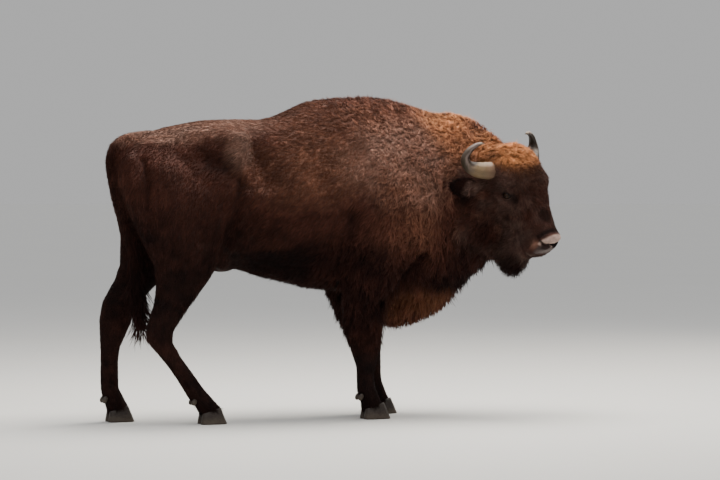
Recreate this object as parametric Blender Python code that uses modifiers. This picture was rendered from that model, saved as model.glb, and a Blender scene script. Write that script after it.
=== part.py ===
"""A standing European bison cow, life size, as a still model in faceted solids.

The whole body is lofted from cross-sections, fused and smoothed, then parted with thin cuts into
the pieces a person would name. The outline runs out to the tips of the coat. Metres, +Z up, the
cow faces +X with its head turned to its right (-Y), and it stands on the plane z = 0.
"""

import math
from collections import namedtuple

import bmesh
import bpy
import numpy as np
from mathutils import Euler, Matrix, Vector

# ------------------------------------------------------------------ driving sizes
GAP = 0.0006  # width of every parting cut
SEAT_GAP = 0.0009  # round an eye, horn, ear, tail or dewclaw in its seat
VOXEL = 0.011  # cell of the grid that fuses the lofts
BODY_TRIANGLES = 1880
HEAD_TRIANGLES = 660
RIM_POINTS = 48  # points round a loft's cross-section

HEAD_CENTRE = Vector((0.919, -0.285, 1.135))
HEAD_PARTING = Vector((0.838, -0.102, 1.100))  # where the head meets the neck
HEAD_YAW = math.radians(-66)  # turned to the right
HEAD_PITCH = math.radians(55)  # the head's axis below the horizon
HEAD_ROLL = math.radians(9)  # right side lower

EYE_PLACE = (0.012, 0.133, 0.034)  # forward, out, up in the head's frame
EYE_RADIUS = 0.021
NOSTRIL_PLACE = (0.306, 0.047, -0.006)
NOSTRIL_RADII = (0.024, 0.014, 0.014)
EAR_FACE = (0.75, 0.35, 0.55)  # the way an ear's hollow looks, in the head's frame
CORONET_HEIGHT = 0.060  # at the middle of the hoof
CORONET_MIDDLE = 0.070  # of the hoof, from its heel
CORONET_TILT = math.radians(15)
CLEFT = 0.004  # between the two hooves of a foot
DEWCLAW_HEIGHT = 0.112
DEWCLAW_OUT = 0.024  # from the foot's middle line
DEWCLAW_RADII = (0.015, 0.013, 0.020)
DEWCLAW_LEAN = math.radians(25)

# Where the pieces part. The head's own partings are measured along the head's axis.
MUZZLE_CUT = 0.200
NOSE_CUT = 0.278
LIP_LEVEL = -0.066  # the nose's pad ends here, above the mouth
BEARD_CUT_HEIGHT = 0.805
HEAD_HALF_WIDTH = 0.26
HEAD_MARGIN = 0.02  # left on both sides of the head's parting while the flesh is thinned
NECK_PARTING = (0.560, 0, 1.1)
NECK_YAW = -12  # degrees
DEWLAP_PARTING = (0.100, 0, 0.590)
DEWLAP_PITCH = 23  # degrees
CHEST_CUT = 0.02
RUMP_CUT = -0.50

SIDES = {"right": -1, "left": 1}
SIDE_NAMES = {1: "right", -1: "left"}  # in the head's frame, where out is to its right

# Colours as seen in the coat, horn and hoof.
COLOURS = {
    "coat_dark": (0.060, 0.034, 0.024),
    "coat_brown": (0.105, 0.058, 0.034),
    "coat_russet": (0.190, 0.100, 0.052),
    "nose_skin": (0.120, 0.105, 0.105),
    "horn": (0.300, 0.270, 0.215),
    "hoof": (0.060, 0.055, 0.050),
    "eye": (0.012, 0.008, 0.006),
}
ROUGHNESS = {"eye": 0.08, "horn": 0.45, "hoof": 0.55, "nose_skin": 0.4}

# Cross-sections. Rib: across the trunk at x. Slice: level cut through a leg, y measured outwards.
# Band: across the head at a distance along it. Collar: across the neck, turned by yaw.
Rib = namedtuple("Rib", "x top bottom half waist peak keel")
Slice = namedtuple("Slice", "z rear front inner outer")
Band = namedtuple("Band", "along crown jaw half waist")
Collar = namedtuple("Collar", "x y yaw top bottom half")
Bead = namedtuple("Bead", "x y z radius")
Touch = namedtuple("Touch", "x y z reach push")

TRUNK = [
    Rib(x=-1.120, top=1.330, bottom=1.140, half=0.070, waist=1.24, peak=2.0, keel=2.0),
    Rib(x=-1.060, top=1.400, bottom=1.020, half=0.150, waist=1.22, peak=2.0, keel=2.0),
    Rib(x=-0.950, top=1.442, bottom=0.930, half=0.200, waist=1.22, peak=2.1, keel=2.0),
    Rib(x=-0.800, top=1.480, bottom=0.860, half=0.235, waist=1.24, peak=2.2, keel=2.0),
    Rib(x=-0.650, top=1.503, bottom=0.800, half=0.255, waist=1.22, peak=2.3, keel=2.0),
    Rib(x=-0.500, top=1.508, bottom=0.755, half=0.272, waist=1.12, peak=2.1, keel=2.1),
    Rib(x=-0.350, top=1.512, bottom=0.715, half=0.295, waist=1.06, peak=1.9, keel=2.2),
    Rib(x=-0.230, top=1.556, bottom=0.690, half=0.310, waist=1.03, peak=1.7, keel=2.2),
    Rib(x=-0.120, top=1.603, bottom=0.668, half=0.315, waist=1.02, peak=1.6, keel=2.2),
    Rib(x=0.040, top=1.625, bottom=0.645, half=0.312, waist=1.02, peak=1.6, keel=2.1),
    Rib(x=0.200, top=1.630, bottom=0.620, half=0.305, waist=1.03, peak=1.6, keel=2.0),
    Rib(x=0.340, top=1.613, bottom=0.590, half=0.295, waist=1.05, peak=1.6, keel=2.0),
    Rib(x=0.470, top=1.575, bottom=0.570, half=0.262, waist=1.07, peak=1.7, keel=2.0),
    Rib(x=0.580, top=1.530, bottom=0.590, half=0.215, waist=1.08, peak=1.8, keel=2.0),
    Rib(x=0.680, top=1.400, bottom=0.680, half=0.140, waist=1.06, peak=2.0, keel=2.0),
]
NECK = [
    Collar(x=0.400, y=0.000, yaw=0, top=1.590, bottom=0.560, half=0.258),
    Collar(x=0.540, y=-0.010, yaw=-8, top=1.553, bottom=0.560, half=0.232),
    Collar(x=0.660, y=-0.045, yaw=-20, top=1.545, bottom=0.620, half=0.204),
    Collar(x=0.760, y=-0.090, yaw=-36, top=1.505, bottom=0.720, half=0.184),
    Collar(x=0.825, y=-0.150, yaw=-50, top=1.440, bottom=0.800, half=0.168),
    Collar(x=0.865, y=-0.210, yaw=-60, top=1.370, bottom=0.880, half=0.150),
]
# The curtain of long hair under the throat and chest.
APRON = [
    Rib(x=0.130, top=0.860, bottom=0.620, half=0.055, waist=0.76, peak=2.0, keel=2.0),
    Rib(x=0.220, top=0.920, bottom=0.505, half=0.064, waist=0.70, peak=2.0, keel=1.8),
    Rib(x=0.330, top=0.960, bottom=0.458, half=0.100, waist=0.68, peak=2.0, keel=1.7),
    Rib(x=0.450, top=1.000, bottom=0.470, half=0.135, waist=0.70, peak=2.0, keel=1.7),
    Rib(x=0.570, top=1.040, bottom=0.520, half=0.130, waist=0.76, peak=2.0, keel=1.7),
    Rib(x=0.660, top=1.080, bottom=0.596, half=0.120, waist=0.84, peak=2.0, keel=1.8),
    Rib(x=0.740, top=1.120, bottom=0.705, half=0.105, waist=0.92, peak=2.0, keel=2.0),
    Rib(x=0.800, top=1.120, bottom=0.790, half=0.070, waist=0.96, peak=2.0, keel=2.0),
]
HEAD = [
    Band(along=-0.275, crown=0.060, jaw=-0.090, half=0.085, waist=0.00),
    Band(along=-0.235, crown=0.118, jaw=-0.140, half=0.130, waist=0.00),
    Band(along=-0.165, crown=0.158, jaw=-0.172, half=0.158, waist=0.01),
    Band(along=-0.090, crown=0.154, jaw=-0.190, half=0.163, waist=0.01),
    Band(along=-0.010, crown=0.136, jaw=-0.192, half=0.157, waist=0.01),
    Band(along=0.060, crown=0.110, jaw=-0.184, half=0.136, waist=0.00),
    Band(along=0.130, crown=0.080, jaw=-0.168, half=0.112, waist=-0.01),
    Band(along=0.190, crown=0.060, jaw=-0.156, half=0.094, waist=-0.02),
    Band(along=0.240, crown=0.048, jaw=-0.152, half=0.084, waist=-0.04),
    Band(along=0.280, crown=0.046, jaw=-0.148, half=0.082, waist=-0.04),
    Band(along=0.312, crown=0.036, jaw=-0.128, half=0.070, waist=-0.04),
    Band(along=0.327, crown=0.004, jaw=-0.090, half=0.040, waist=-0.04),
]
BEARD = [
    Slice(z=0.980, rear=-0.070, front=0.050, inner=-0.040, outer=0.040),
    Slice(z=0.880, rear=-0.140, front=0.118, inner=-0.058, outer=0.058),
    Slice(z=0.805, rear=-0.136, front=0.120, inner=-0.062, outer=0.062),
    Slice(z=0.755, rear=-0.098, front=0.092, inner=-0.054, outer=0.054),
    Slice(z=0.720, rear=-0.060, front=0.062, inner=-0.040, outer=0.040),
    Slice(z=0.700, rear=-0.022, front=0.030, inner=-0.016, outer=0.016),
]
BEARD_CENTRE = (0.885, -0.282)
# Places in the head's frame: along, out, up.
HORN = [
    Bead(-0.124, 0.070, 0.034, 0.046),
    Bead(-0.140, 0.140, 0.034, 0.045),
    Bead(-0.170, 0.202, 0.016, 0.040),
    Bead(-0.206, 0.242, 0.012, 0.033),
    Bead(-0.240, 0.252, 0.030, 0.025),
    Bead(-0.262, 0.232, 0.062, 0.0185),
    Bead(-0.270, 0.192, 0.092, 0.012),
    Bead(-0.264, 0.150, 0.104, 0.004),
]
EAR_ROOT = (-0.107, 0.120, -0.096)
EAR_TIPS = {1: (-0.166, 0.345, -0.067), -1: (-0.232, 0.312, -0.128)}  # the left one is laid back
Leaf = namedtuple("Leaf", "along half thick cup")
EAR = [
    Leaf(along=0.00, half=0.026, thick=0.022, cup=0.000),
    Leaf(along=0.22, half=0.036, thick=0.024, cup=0.002),
    Leaf(along=0.45, half=0.048, thick=0.020, cup=0.006),
    Leaf(along=0.68, half=0.050, thick=0.016, cup=0.010),
    Leaf(along=0.86, half=0.036, thick=0.012, cup=0.008),
    Leaf(along=1.00, half=0.010, thick=0.006, cup=0.004),
]

FORELEG = [
    Slice(z=1.300, rear=0.000, front=0.260, inner=0.080, outer=0.220),
    Slice(z=1.050, rear=-0.020, front=0.380, inner=0.090, outer=0.300),
    Slice(z=0.850, rear=-0.020, front=0.400, inner=0.080, outer=0.298),
    Slice(z=0.700, rear=0.000, front=0.330, inner=0.070, outer=0.270),
    Slice(z=0.600, rear=0.010, front=0.280, inner=0.070, outer=0.246),
    Slice(z=0.500, rear=0.022, front=0.240, inner=0.072, outer=0.226),
    Slice(z=0.420, rear=0.036, front=0.224, inner=0.078, outer=0.210),
    Slice(z=0.360, rear=0.056, front=0.212, inner=0.084, outer=0.200),
    Slice(z=0.290, rear=0.082, front=0.198, inner=0.092, outer=0.187),
    Slice(z=0.220, rear=0.094, front=0.188, inner=0.097, outer=0.180),
    Slice(z=0.170, rear=0.094, front=0.190, inner=0.095, outer=0.182),
    Slice(z=0.125, rear=0.098, front=0.206, inner=0.090, outer=0.187),
    Slice(z=0.085, rear=0.116, front=0.222, inner=0.088, outer=0.190),
    Slice(z=0.050, rear=0.116, front=0.236, inner=0.084, outer=0.194),
    Slice(z=0.030, rear=0.126, front=0.236, inner=0.090, outer=0.188),
]
FORE_STEP = {"right": 0.0, "left": 0.140}  # how far each forefoot is set ahead

HIND_LEGS = {
    "right": [
        Slice(z=1.400, rear=-1.040, front=-0.700, inner=0.060, outer=0.170),
        Slice(z=1.270, rear=-1.135, front=-0.600, inner=0.020, outer=0.232),
        Slice(z=1.150, rear=-1.130, front=-0.560, inner=0.018, outer=0.256),
        Slice(z=1.030, rear=-1.086, front=-0.545, inner=0.018, outer=0.262),
        Slice(z=0.900, rear=-1.025, front=-0.575, inner=0.028, outer=0.258),
        Slice(z=0.800, rear=-0.975, front=-0.630, inner=0.046, outer=0.240),
        Slice(z=0.700, rear=-0.955, front=-0.690, inner=0.066, outer=0.220),
        Slice(z=0.600, rear=-0.965, front=-0.765, inner=0.080, outer=0.202),
        Slice(z=0.500, rear=-0.998, front=-0.838, inner=0.088, outer=0.192),
        Slice(z=0.430, rear=-1.008, front=-0.868, inner=0.090, outer=0.192),
        Slice(z=0.360, rear=-0.955, front=-0.842, inner=0.096, outer=0.186),
        Slice(z=0.270, rear=-0.880, front=-0.776, inner=0.100, outer=0.180),
        Slice(z=0.190, rear=-0.826, front=-0.720, inner=0.098, outer=0.180),
        Slice(z=0.130, rear=-0.792, front=-0.668, inner=0.092, outer=0.186),
        Slice(z=0.085, rear=-0.752, front=-0.628, inner=0.088, outer=0.190),
        Slice(z=0.050, rear=-0.730, front=-0.610, inner=0.084, outer=0.194),
        Slice(z=0.030, rear=-0.720, front=-0.610, inner=0.090, outer=0.188),
    ],
    "left": [
        Slice(z=1.400, rear=-1.040, front=-0.720, inner=0.060, outer=0.170),
        Slice(z=1.270, rear=-1.125, front=-0.640, inner=0.020, outer=0.232),
        Slice(z=1.150, rear=-1.108, front=-0.620, inner=0.018, outer=0.256),
        Slice(z=1.030, rear=-1.078, front=-0.620, inner=0.018, outer=0.262),
        Slice(z=0.930, rear=-1.058, front=-0.650, inner=0.026, outer=0.256),
        Slice(z=0.840, rear=-1.055, front=-0.720, inner=0.044, outer=0.240),
        Slice(z=0.760, rear=-1.064, front=-0.790, inner=0.060, outer=0.222),
        Slice(z=0.680, rear=-1.102, front=-0.870, inner=0.074, outer=0.206),
        Slice(z=0.600, rear=-1.148, front=-0.945, inner=0.084, outer=0.196),
        Slice(z=0.520, rear=-1.166, front=-0.990, inner=0.090, outer=0.192),
        Slice(z=0.440, rear=-1.164, front=-1.024, inner=0.094, outer=0.188),
        Slice(z=0.350, rear=-1.160, front=-1.062, inner=0.100, outer=0.181),
        Slice(z=0.220, rear=-1.160, front=-1.068, inner=0.100, outer=0.180),
        Slice(z=0.165, rear=-1.158, front=-1.062, inner=0.098, outer=0.182),
        Slice(z=0.120, rear=-1.150, front=-1.040, inner=0.092, outer=0.187),
        Slice(z=0.085, rear=-1.132, front=-1.022, inner=0.088, outer=0.190),
        Slice(z=0.050, rear=-1.126, front=-1.008, inner=0.084, outer=0.194),
        Slice(z=0.030, rear=-1.116, front=-1.008, inner=0.090, outer=0.188),
    ],
}

TAIL = [
    Bead(-0.930, 0.000, 1.425, 0.030),
    Bead(-1.040, 0.000, 1.408, 0.033),
    Bead(-1.106, 0.000, 1.380, 0.031),
    Bead(-1.140, 0.000, 1.325, 0.028),
    Bead(-1.144, 0.000, 1.260, 0.025),
    Bead(-1.128, 0.000, 1.175, 0.024),
    Bead(-1.102, 0.000, 1.080, 0.024),
    Bead(-1.075, 0.000, 0.980, 0.025),
    Bead(-1.045, 0.000, 0.880, 0.028),
    Bead(-1.022, 0.000, 0.780, 0.034),
    Bead(-1.008, 0.000, 0.680, 0.038),
    Bead(-1.002, 0.000, 0.590, 0.034),
    Bead(-1.000, 0.000, 0.520, 0.018),
]
TAIL_CUT_HEIGHT = 0.86  # the tuft hangs below this
UDDER_CENTRE = (-0.580, 0, 0.786)
UDDER_RADII = (0.100, 0.080, 0.045)
UDDER_BOX = ((-0.665, -0.10, 0.6), (-0.520, 0.10, 0.772))

# One half of a hoof, measured from the heel and from the foot's middle line.
HOOF = [
    Slice(z=0.000, rear=0.000, front=0.146, inner=CLEFT / 2, outer=0.056),
    Slice(z=0.030, rear=0.000, front=0.136, inner=CLEFT / 2, outer=0.055),
    Slice(z=0.060, rear=0.003, front=0.121, inner=CLEFT / 2, outer=0.051),
    Slice(z=0.100, rear=0.008, front=0.100, inner=CLEFT / 2, outer=0.046),
]
# A foot: x of its heel, y of its middle, hoof length factor, dewclaw x from the heel, and the
# boxes that part its leg from the body, as (name, near corner, far corner) with y outwards.
Foot = namedtuple("Foot", "name side x y size claw cuts")
FORE_CUTS = [
    ("foot", (-0.20, 0.02, -0.1), (0.60, 0.40, 0.365)),
    ("forearm", (-0.20, 0.062, 0.365), (0.345, 0.40, 0.590)),
]
FEET = [
    Foot("fore_right", -1, 0.118, -0.139, 1.00, -0.012, FORE_CUTS),
    Foot("fore_left", 1, 0.258, 0.139, 1.00, -0.012, FORE_CUTS),
    Foot("hind_right", -1, -0.735, -0.139, 0.95, -0.030, [
        ("foot", (-1.30, 0.02, -0.1), (-0.45, 0.40, 0.370)),
        ("shank", (-1.30, 0.008, 0.370), (-0.60, 0.40, 0.765)),
    ]),
    Foot("hind_left", 1, -1.130, 0.139, 0.95, -0.012, [
        ("foot", (-1.30, 0.02, -0.1), (-0.45, 0.40, 0.460)),
        ("shank", (-1.30, 0.008, 0.460), (-0.60, 0.40, 0.765)),
    ]),
]

# Soft swells and hollows of the muscles and bones under the coat.
TOUCHES = [
    Touch(-0.575, 0.190, 1.410, 0.110, (0, 0.020, 0.014)),  # hook bone
    Touch(-0.440, 0.250, 1.270, 0.170, (0, -0.024, 0)),  # hollow of the flank
    Touch(-1.080, 0.130, 1.310, 0.100, (-0.012, 0.012, 0)),  # pin bone
    Touch(-0.820, 0.240, 1.330, 0.190, (0, -0.018, 0)),  # rump between the bones
    Touch(-0.700, 0.260, 1.060, 0.180, (0, 0.016, 0)),  # thigh muscle
    Touch(-0.890, 0.250, 0.940, 0.130, (0, -0.014, 0)),  # groove behind the thigh
    Touch(-0.500, 0.260, 0.920, 0.130, (0, -0.018, 0)),  # flank fold
    Touch(0.120, 0.310, 1.140, 0.260, (0, 0.014, 0)),  # shoulder blade
    Touch(0.300, 0.300, 0.880, 0.180, (0, 0.014, 0)),  # point of the shoulder
    Touch(-0.060, 0.300, 0.820, 0.160, (0, -0.016, 0)),  # behind the elbow
]
# The same in the head's frame: along, out, up.
HEAD_TOUCHES = [
    Touch(0.014, 0.150, 0.034, 0.046, (0, -0.014, 0)),  # eye socket
    Touch(-0.014, 0.140, 0.078, 0.060, (0, 0.010, 0.002)),  # brow above the eye
    Touch(0.120, 0.115, 0.020, 0.085, (0, -0.012, 0)),  # hollow before the eye
    Touch(0.240, 0.085, 0.010, 0.060, (0, -0.006, 0)),  # side of the muzzle
    Touch(0.286, 0.078, -0.060, 0.060, (0.004, 0.008, 0)),  # upper lip
    Touch(0.040, 0.140, -0.090, 0.110, (0, 0.010, -0.004)),  # cheek
]


# ------------------------------------------------------------------ mesh tools
def curve_through(rows, count):
    """Rows of numbers along a smooth curve through the given rows (Catmull-Rom)."""
    points = np.array(rows, float)
    padded = np.vstack([2 * points[0] - points[1], points, 2 * points[-1] - points[-2]])
    result = []
    for place in np.linspace(0, len(points) - 1, count):
        i = min(int(place), len(points) - 2)
        t = place - i
        a, b, c, d = padded[i : i + 4]
        result.append(
            0.5 * (2 * b + (c - a) * t + (2 * a - 5 * b + 4 * c - d) * t**2
                   + (3 * b - a - 3 * c + d) * t**3)
        )
    return result


def rim(centre, side, up, half, rise, drop, peak=2.0, keel=2.0, count=RIM_POINTS):
    """One egg-shaped cross-section. peak and keel square or sharpen its upper and lower half."""
    points = []
    for k in range(count):
        angle = 2 * math.pi * k / count
        c, s = math.cos(angle), math.sin(angle)
        power = 2 / (peak if s > 0 else keel)
        across = math.copysign(abs(c) ** power, c) * half
        height = math.copysign(abs(s) ** power, s) * (rise if s > 0 else drop)
        points.append(centre + side * across + up * height)
    return points


def loft(name, rims):
    """A closed tube through the cross-sections, with a flat cap at each end."""
    bm = bmesh.new()
    loops = [[bm.verts.new(p) for p in points] for points in rims]
    for lower, upper in zip(loops, loops[1:]):
        for k in range(len(lower)):
            j = (k + 1) % len(lower)
            bm.faces.new((lower[k], lower[j], upper[j], upper[k]))
    bm.faces.new(list(reversed(loops[0])))
    bm.faces.new(loops[-1])
    bmesh.ops.recalc_face_normals(bm, faces=bm.faces)
    mesh = bpy.data.meshes.new(name)
    bm.to_mesh(mesh)
    bm.free()
    return place(name, mesh)


def place(name, mesh):
    """An object holding this mesh, in the cow's collection."""
    thing = bpy.data.objects.new(name, mesh)
    cow.objects.link(thing)
    return thing


def baked(thing):
    """Applies an object's modifiers by replacing its mesh with the evaluated one."""
    bpy.context.view_layer.update()
    graph = bpy.context.evaluated_depsgraph_get()
    mesh = bpy.data.meshes.new_from_object(thing.evaluated_get(graph))
    thing.modifiers.clear()
    thing.data = mesh
    return thing


def discard(*things):
    for thing in things:
        bpy.data.objects.remove(thing)


def volume(mesh):
    bm = bmesh.new()
    bm.from_mesh(mesh)
    amount = bm.calc_volume()
    bm.free()
    return amount


def boolean(thing, other, operation):
    """Cuts thing with other or keeps what is common. Tries again if the cut took nothing."""
    whole = thing.data
    before = volume(whole)
    for solver in ("EXACT", "MANIFOLD"):
        thing.data = whole
        step = thing.modifiers.new(operation.lower(), "BOOLEAN")
        step.operation = operation
        step.solver = solver
        step.object = other
        baked(thing)
        if 1e-9 < volume(thing.data) < before - 1e-10:
            break
    return thing


def copy_of(thing, name):
    return place(name, thing.data.copy())


def ellipsoid(name, centre, radii, turn=(0, 0, 0), segments=24, rings=14):
    bm = bmesh.new()
    bmesh.ops.create_uvsphere(bm, u_segments=segments, v_segments=rings, radius=1)
    matrix = Matrix.LocRotScale(Vector(centre), Euler(turn), Vector(radii))
    bmesh.ops.transform(bm, matrix=matrix, verts=bm.verts)
    mesh = bpy.data.meshes.new(name)
    bm.to_mesh(mesh)
    bm.free()
    return place(name, mesh)


def box(name, low, high, matrix=None):
    """A box between two corners, then moved by matrix."""
    bm = bmesh.new()
    bmesh.ops.create_cube(bm, size=1)
    low, high = Vector(low), Vector(high)
    move = Matrix.LocRotScale((low + high) / 2, None, high - low)
    bmesh.ops.transform(bm, matrix=(matrix or Matrix()) @ move, verts=bm.verts)
    bmesh.ops.recalc_face_normals(bm, faces=bm.faces)
    mesh = bpy.data.meshes.new(name)
    bm.to_mesh(mesh)
    bm.free()
    return place(name, mesh)


# ------------------------------------------------------------------ frames
def head_matrix():
    """From the head's frame (forward along the face, out to its right, up from the brow)."""
    heading = Vector((math.cos(HEAD_YAW), math.sin(HEAD_YAW), 0))
    right = Vector((heading.y, -heading.x, 0))
    forward = heading * math.cos(HEAD_PITCH) - Vector((0, 0, math.sin(HEAD_PITCH)))
    up = heading * math.sin(HEAD_PITCH) + Vector((0, 0, math.cos(HEAD_PITCH)))
    roll = Matrix.Rotation(HEAD_ROLL, 3, heading)
    axes = Matrix((roll @ forward, roll @ right, roll @ up)).transposed()
    return Matrix.Translation(HEAD_CENTRE) @ axes.to_4x4()


def in_head(along, out, up):
    return head_matrix() @ Vector((along, out, up))


# ------------------------------------------------------------------ flesh
def rib_loft(name, ribs, count):
    rims = []
    for x, top, bottom, half, waist, peak, keel in curve_through(ribs, count):
        centre = Vector((x, 0, waist))
        rims.append(rim(centre, Vector((0, 1, 0)), Vector((0, 0, 1)), half,
                        top - waist, waist - bottom, peak, keel))
    return loft(name, rims)


def neck_loft():
    rims = []
    for x, y, yaw, top, bottom, half in curve_through(NECK, 24):
        turn = math.radians(yaw)
        side = Vector((-math.sin(turn), math.cos(turn), 0))
        middle = (top + bottom) / 2
        rims.append(rim(Vector((x, y, middle)), side, Vector((0, 0, 1)), half,
                        top - middle, middle - bottom, 1.9, 1.9))
    return loft("neck_form", rims)


def head_loft():
    frame = head_matrix().to_3x3()
    side, up = frame @ Vector((0, 1, 0)), frame @ Vector((0, 0, 1))
    rims = []
    for along, crown, jaw, half, waist in curve_through(HEAD, 34):
        rims.append(rim(in_head(along, 0, waist), side, up, half, crown - waist,
                        waist - jaw, 2.4, 2.0))
    return loft("head_form", rims)


def slice_loft(name, slices, side, shift=lambda z: 0.0, count=48, squareness=2.2):
    """A leg from level slices. side is -1 for the right leg and 1 for the left."""
    rims = []
    for z, rear, front, inner, outer in curve_through(slices, count):
        centre = Vector(((rear + front) / 2 + shift(z), side * (inner + outer) / 2, z))
        rims.append(rim(centre, Vector((0, 1, 0)), Vector((1, 0, 0)), (outer - inner) / 2,
                        (front - rear) / 2, (front - rear) / 2, squareness, squareness))
    return loft(name, rims)


def fore_shift(step):
    """The step grows from nothing at the shoulder to its full length at the hoof."""

    def shift(z):
        t = min(1.0, max(0.0, (0.85 - z) / 0.70))
        return step * t * t * (3 - 2 * t)

    return shift


def bead_loft(name, beads, count=22):
    """A round tube through the beads."""
    rows = curve_through(beads, count)
    rims = []
    for i, (x, y, z, radius) in enumerate(rows):
        before, after = rows[max(0, i - 1)], rows[min(len(rows) - 1, i + 1)]
        along = Vector(after[:3] - before[:3]).normalized()
        side = Vector((0, 1, 0))
        up = side.cross(along).normalized()
        rims.append(rim(Vector((x, y, z)), side, up, radius, radius, radius, count=10))
    return loft(name, rims)


def beard_loft():
    turn = Matrix.Rotation(HEAD_YAW, 4, "Z")
    form = slice_loft("beard_form", BEARD, 1, count=20)
    form.data.transform(Matrix.Translation((*BEARD_CENTRE, 0)) @ turn)
    return form


def press(mesh, touches, frame=None):
    """Moves the skin near each touch and its mirror image, fading out over its reach."""
    frame = frame or Matrix()
    points = np.empty(len(mesh.vertices) * 3)
    mesh.vertices.foreach_get("co", points)
    points = points.reshape(-1, 3)
    rest = points.copy()
    for touch in touches:
        for side in (1, -1):
            centre = frame @ Vector((touch.x, side * touch.y, touch.z))
            along, out, up = touch.push
            push = frame.to_3x3() @ Vector((along, side * out, up))
            away = np.linalg.norm(rest - np.array(centre), axis=1) / touch.reach
            weight = np.clip(1 - away**2, 0, 1) ** 2
            points += weight[:, None] * np.array(push)
    mesh.vertices.foreach_set("co", points.ravel())
    mesh.update()


def merged(name, forms):
    """One object holding the meshes of all the forms, which are removed."""
    bm = bmesh.new()
    for form in forms:
        bm.from_mesh(form.data)
    mesh = bpy.data.meshes.new(name)
    bm.to_mesh(mesh)
    bm.free()
    discard(*forms)
    return place(name, mesh)


def fused_body():
    """All the flesh as one smooth closed mesh."""
    forms = [
        rib_loft("trunk_form", TRUNK, 60),
        rib_loft("apron_form", APRON, 30),
        neck_loft(),
        head_loft(),
        beard_loft(),
        ellipsoid("udder_form", UDDER_CENTRE, UDDER_RADII),
    ]
    for name, side in SIDES.items():
        forms.append(slice_loft("fore_" + name, FORELEG, side, fore_shift(FORE_STEP[name])))
        forms.append(slice_loft("hind_" + name, HIND_LEGS[name], side))
    body = merged("body", forms)
    fuse = body.modifiers.new("fuse", "REMESH")
    fuse.mode = "VOXEL"
    fuse.voxel_size = VOXEL
    soften = body.modifiers.new("soften", "SMOOTH")
    soften.factor = 0.5
    soften.iterations = 8
    baked(body)
    press(body.data, TOUCHES)
    press(body.data, HEAD_TOUCHES, head_matrix())
    return body


def thinned(thing, triangles):
    """Fewer, larger triangles where the surface is calm."""
    thing.data.polygons.foreach_set("use_smooth", [True] * len(thing.data.polygons))
    thin = thing.modifiers.new("thin", "DECIMATE")
    thin.ratio = triangles / sum(len(p.vertices) - 2 for p in thing.data.polygons)
    return baked(thing)


def main_piece(thing):
    """Drops loose crumbs: only the largest connected piece stays."""
    bm = bmesh.new()
    bm.from_mesh(thing.data)
    bm.verts.ensure_lookup_table()
    unseen = set(bm.verts)
    pieces = []
    while unseen:
        stack = [unseen.pop()]
        piece = []
        while stack:
            vert = stack.pop()
            piece.append(vert)
            for edge in vert.link_edges:
                other = edge.other_vert(vert)
                if other in unseen:
                    unseen.remove(other)
                    stack.append(other)
        pieces.append(piece)
    pieces.sort(key=len, reverse=True)
    for piece in pieces[1:]:
        bmesh.ops.delete(bm, geom=piece, context="VERTS")
    open_edges = [e for e in bm.edges if e.is_boundary]
    if open_edges:
        bmesh.ops.holes_fill(bm, edges=open_edges, sides=0)
    bm.to_mesh(thing.data)
    bm.free()
    return thing


def grown(thing, name, amount):
    """A copy whose surface lies the given amount further out."""
    copy = copy_of(thing, name)
    bm = bmesh.new()
    bm.from_mesh(copy.data)
    bm.normal_update()
    moves = [(v, v.normal * amount * v.calc_shell_factor()) for v in bm.verts]
    for vert, move in moves:
        vert.co += move
    bm.to_mesh(copy.data)
    bm.free()
    return copy


def make_room(thing, inset):
    """Carves a seat for inset into thing, with the parting gap all round."""
    cutter = grown(inset, "seat", SEAT_GAP)
    boolean(thing, cutter, "DIFFERENCE")
    discard(cutter)
    return main_piece(thing)


def parted(body, name, low, high, frame=None):
    """Takes the region inside a box out of body, as a node of its own, with a thin gap."""
    reach = Vector((GAP, GAP, GAP)) / 2
    low, high = Vector(low), Vector(high)
    inner = box("inner", low + reach, high - reach, frame)
    outer = box("outer", low - reach, high + reach, frame)
    piece = copy_of(body, name)
    boolean(piece, inner, "INTERSECT")
    boolean(body, outer, "DIFFERENCE")
    discard(inner, outer)
    main_piece(piece)
    main_piece(body)
    return piece


def frame_at(point, yaw=0.0, pitch=0.0):
    """A frame standing at point, turned by yaw, then tipped nose-up by pitch."""
    turn = Matrix.Rotation(math.radians(yaw), 4, "Z") @ Matrix.Rotation(math.radians(-pitch), 4, "Y")
    return Matrix.Translation(point) @ turn


# ------------------------------------------------------------------ head pieces
def horn(side):
    """A horn that runs out from the temple, up, and back in to its tip."""
    frame = head_matrix()
    beads = []
    for along, out, up, radius in HORN:
        beads.append(Bead(*(frame @ Vector((along, side * out, up))), radius))
    rows = curve_through(beads, 11)
    rims = []
    side_axis = frame.to_3x3() @ Vector((1, 0, 0))
    for i, (x, y, z, radius) in enumerate(rows):
        before, after = rows[max(0, i - 1)], rows[min(len(rows) - 1, i + 1)]
        run = Vector(after[:3] - before[:3]).normalized()
        across = run.cross(side_axis).normalized()
        other = across.cross(run).normalized()
        rims.append(rim(Vector((x, y, z)), across, other, radius, radius, radius, count=10))
    return loft("horn_" + SIDE_NAMES[side], rims)


def ear(side):
    """A cupped leaf from the side of the head, out and back."""
    frame = head_matrix()
    root = frame @ Vector((EAR_ROOT[0], side * EAR_ROOT[1], EAR_ROOT[2]))
    along, out, up = EAR_TIPS[side]
    tip = frame @ Vector((along, side * out, up))
    run = (tip - root).normalized()
    along, out, up = EAR_FACE
    thickness = frame.to_3x3() @ Vector((along, side * out, up))
    thickness = (thickness - run * thickness.dot(run)).normalized()
    width = run.cross(thickness)
    rims = []
    for along, half, thick, cup in curve_through(EAR, 8):
        centre = root.lerp(tip, along)
        points = []
        for k in range(12):
            angle = 2 * math.pi * k / 12
            c, s = math.cos(angle), math.sin(angle)
            sag = cup * c * c * (1 if s > 0 else 0.6)
            points.append(centre + width * half * c + thickness * (thick * s * 0.5 + sag))
        rims.append(points)
    return loft("ear_" + SIDE_NAMES[side], rims)


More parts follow.
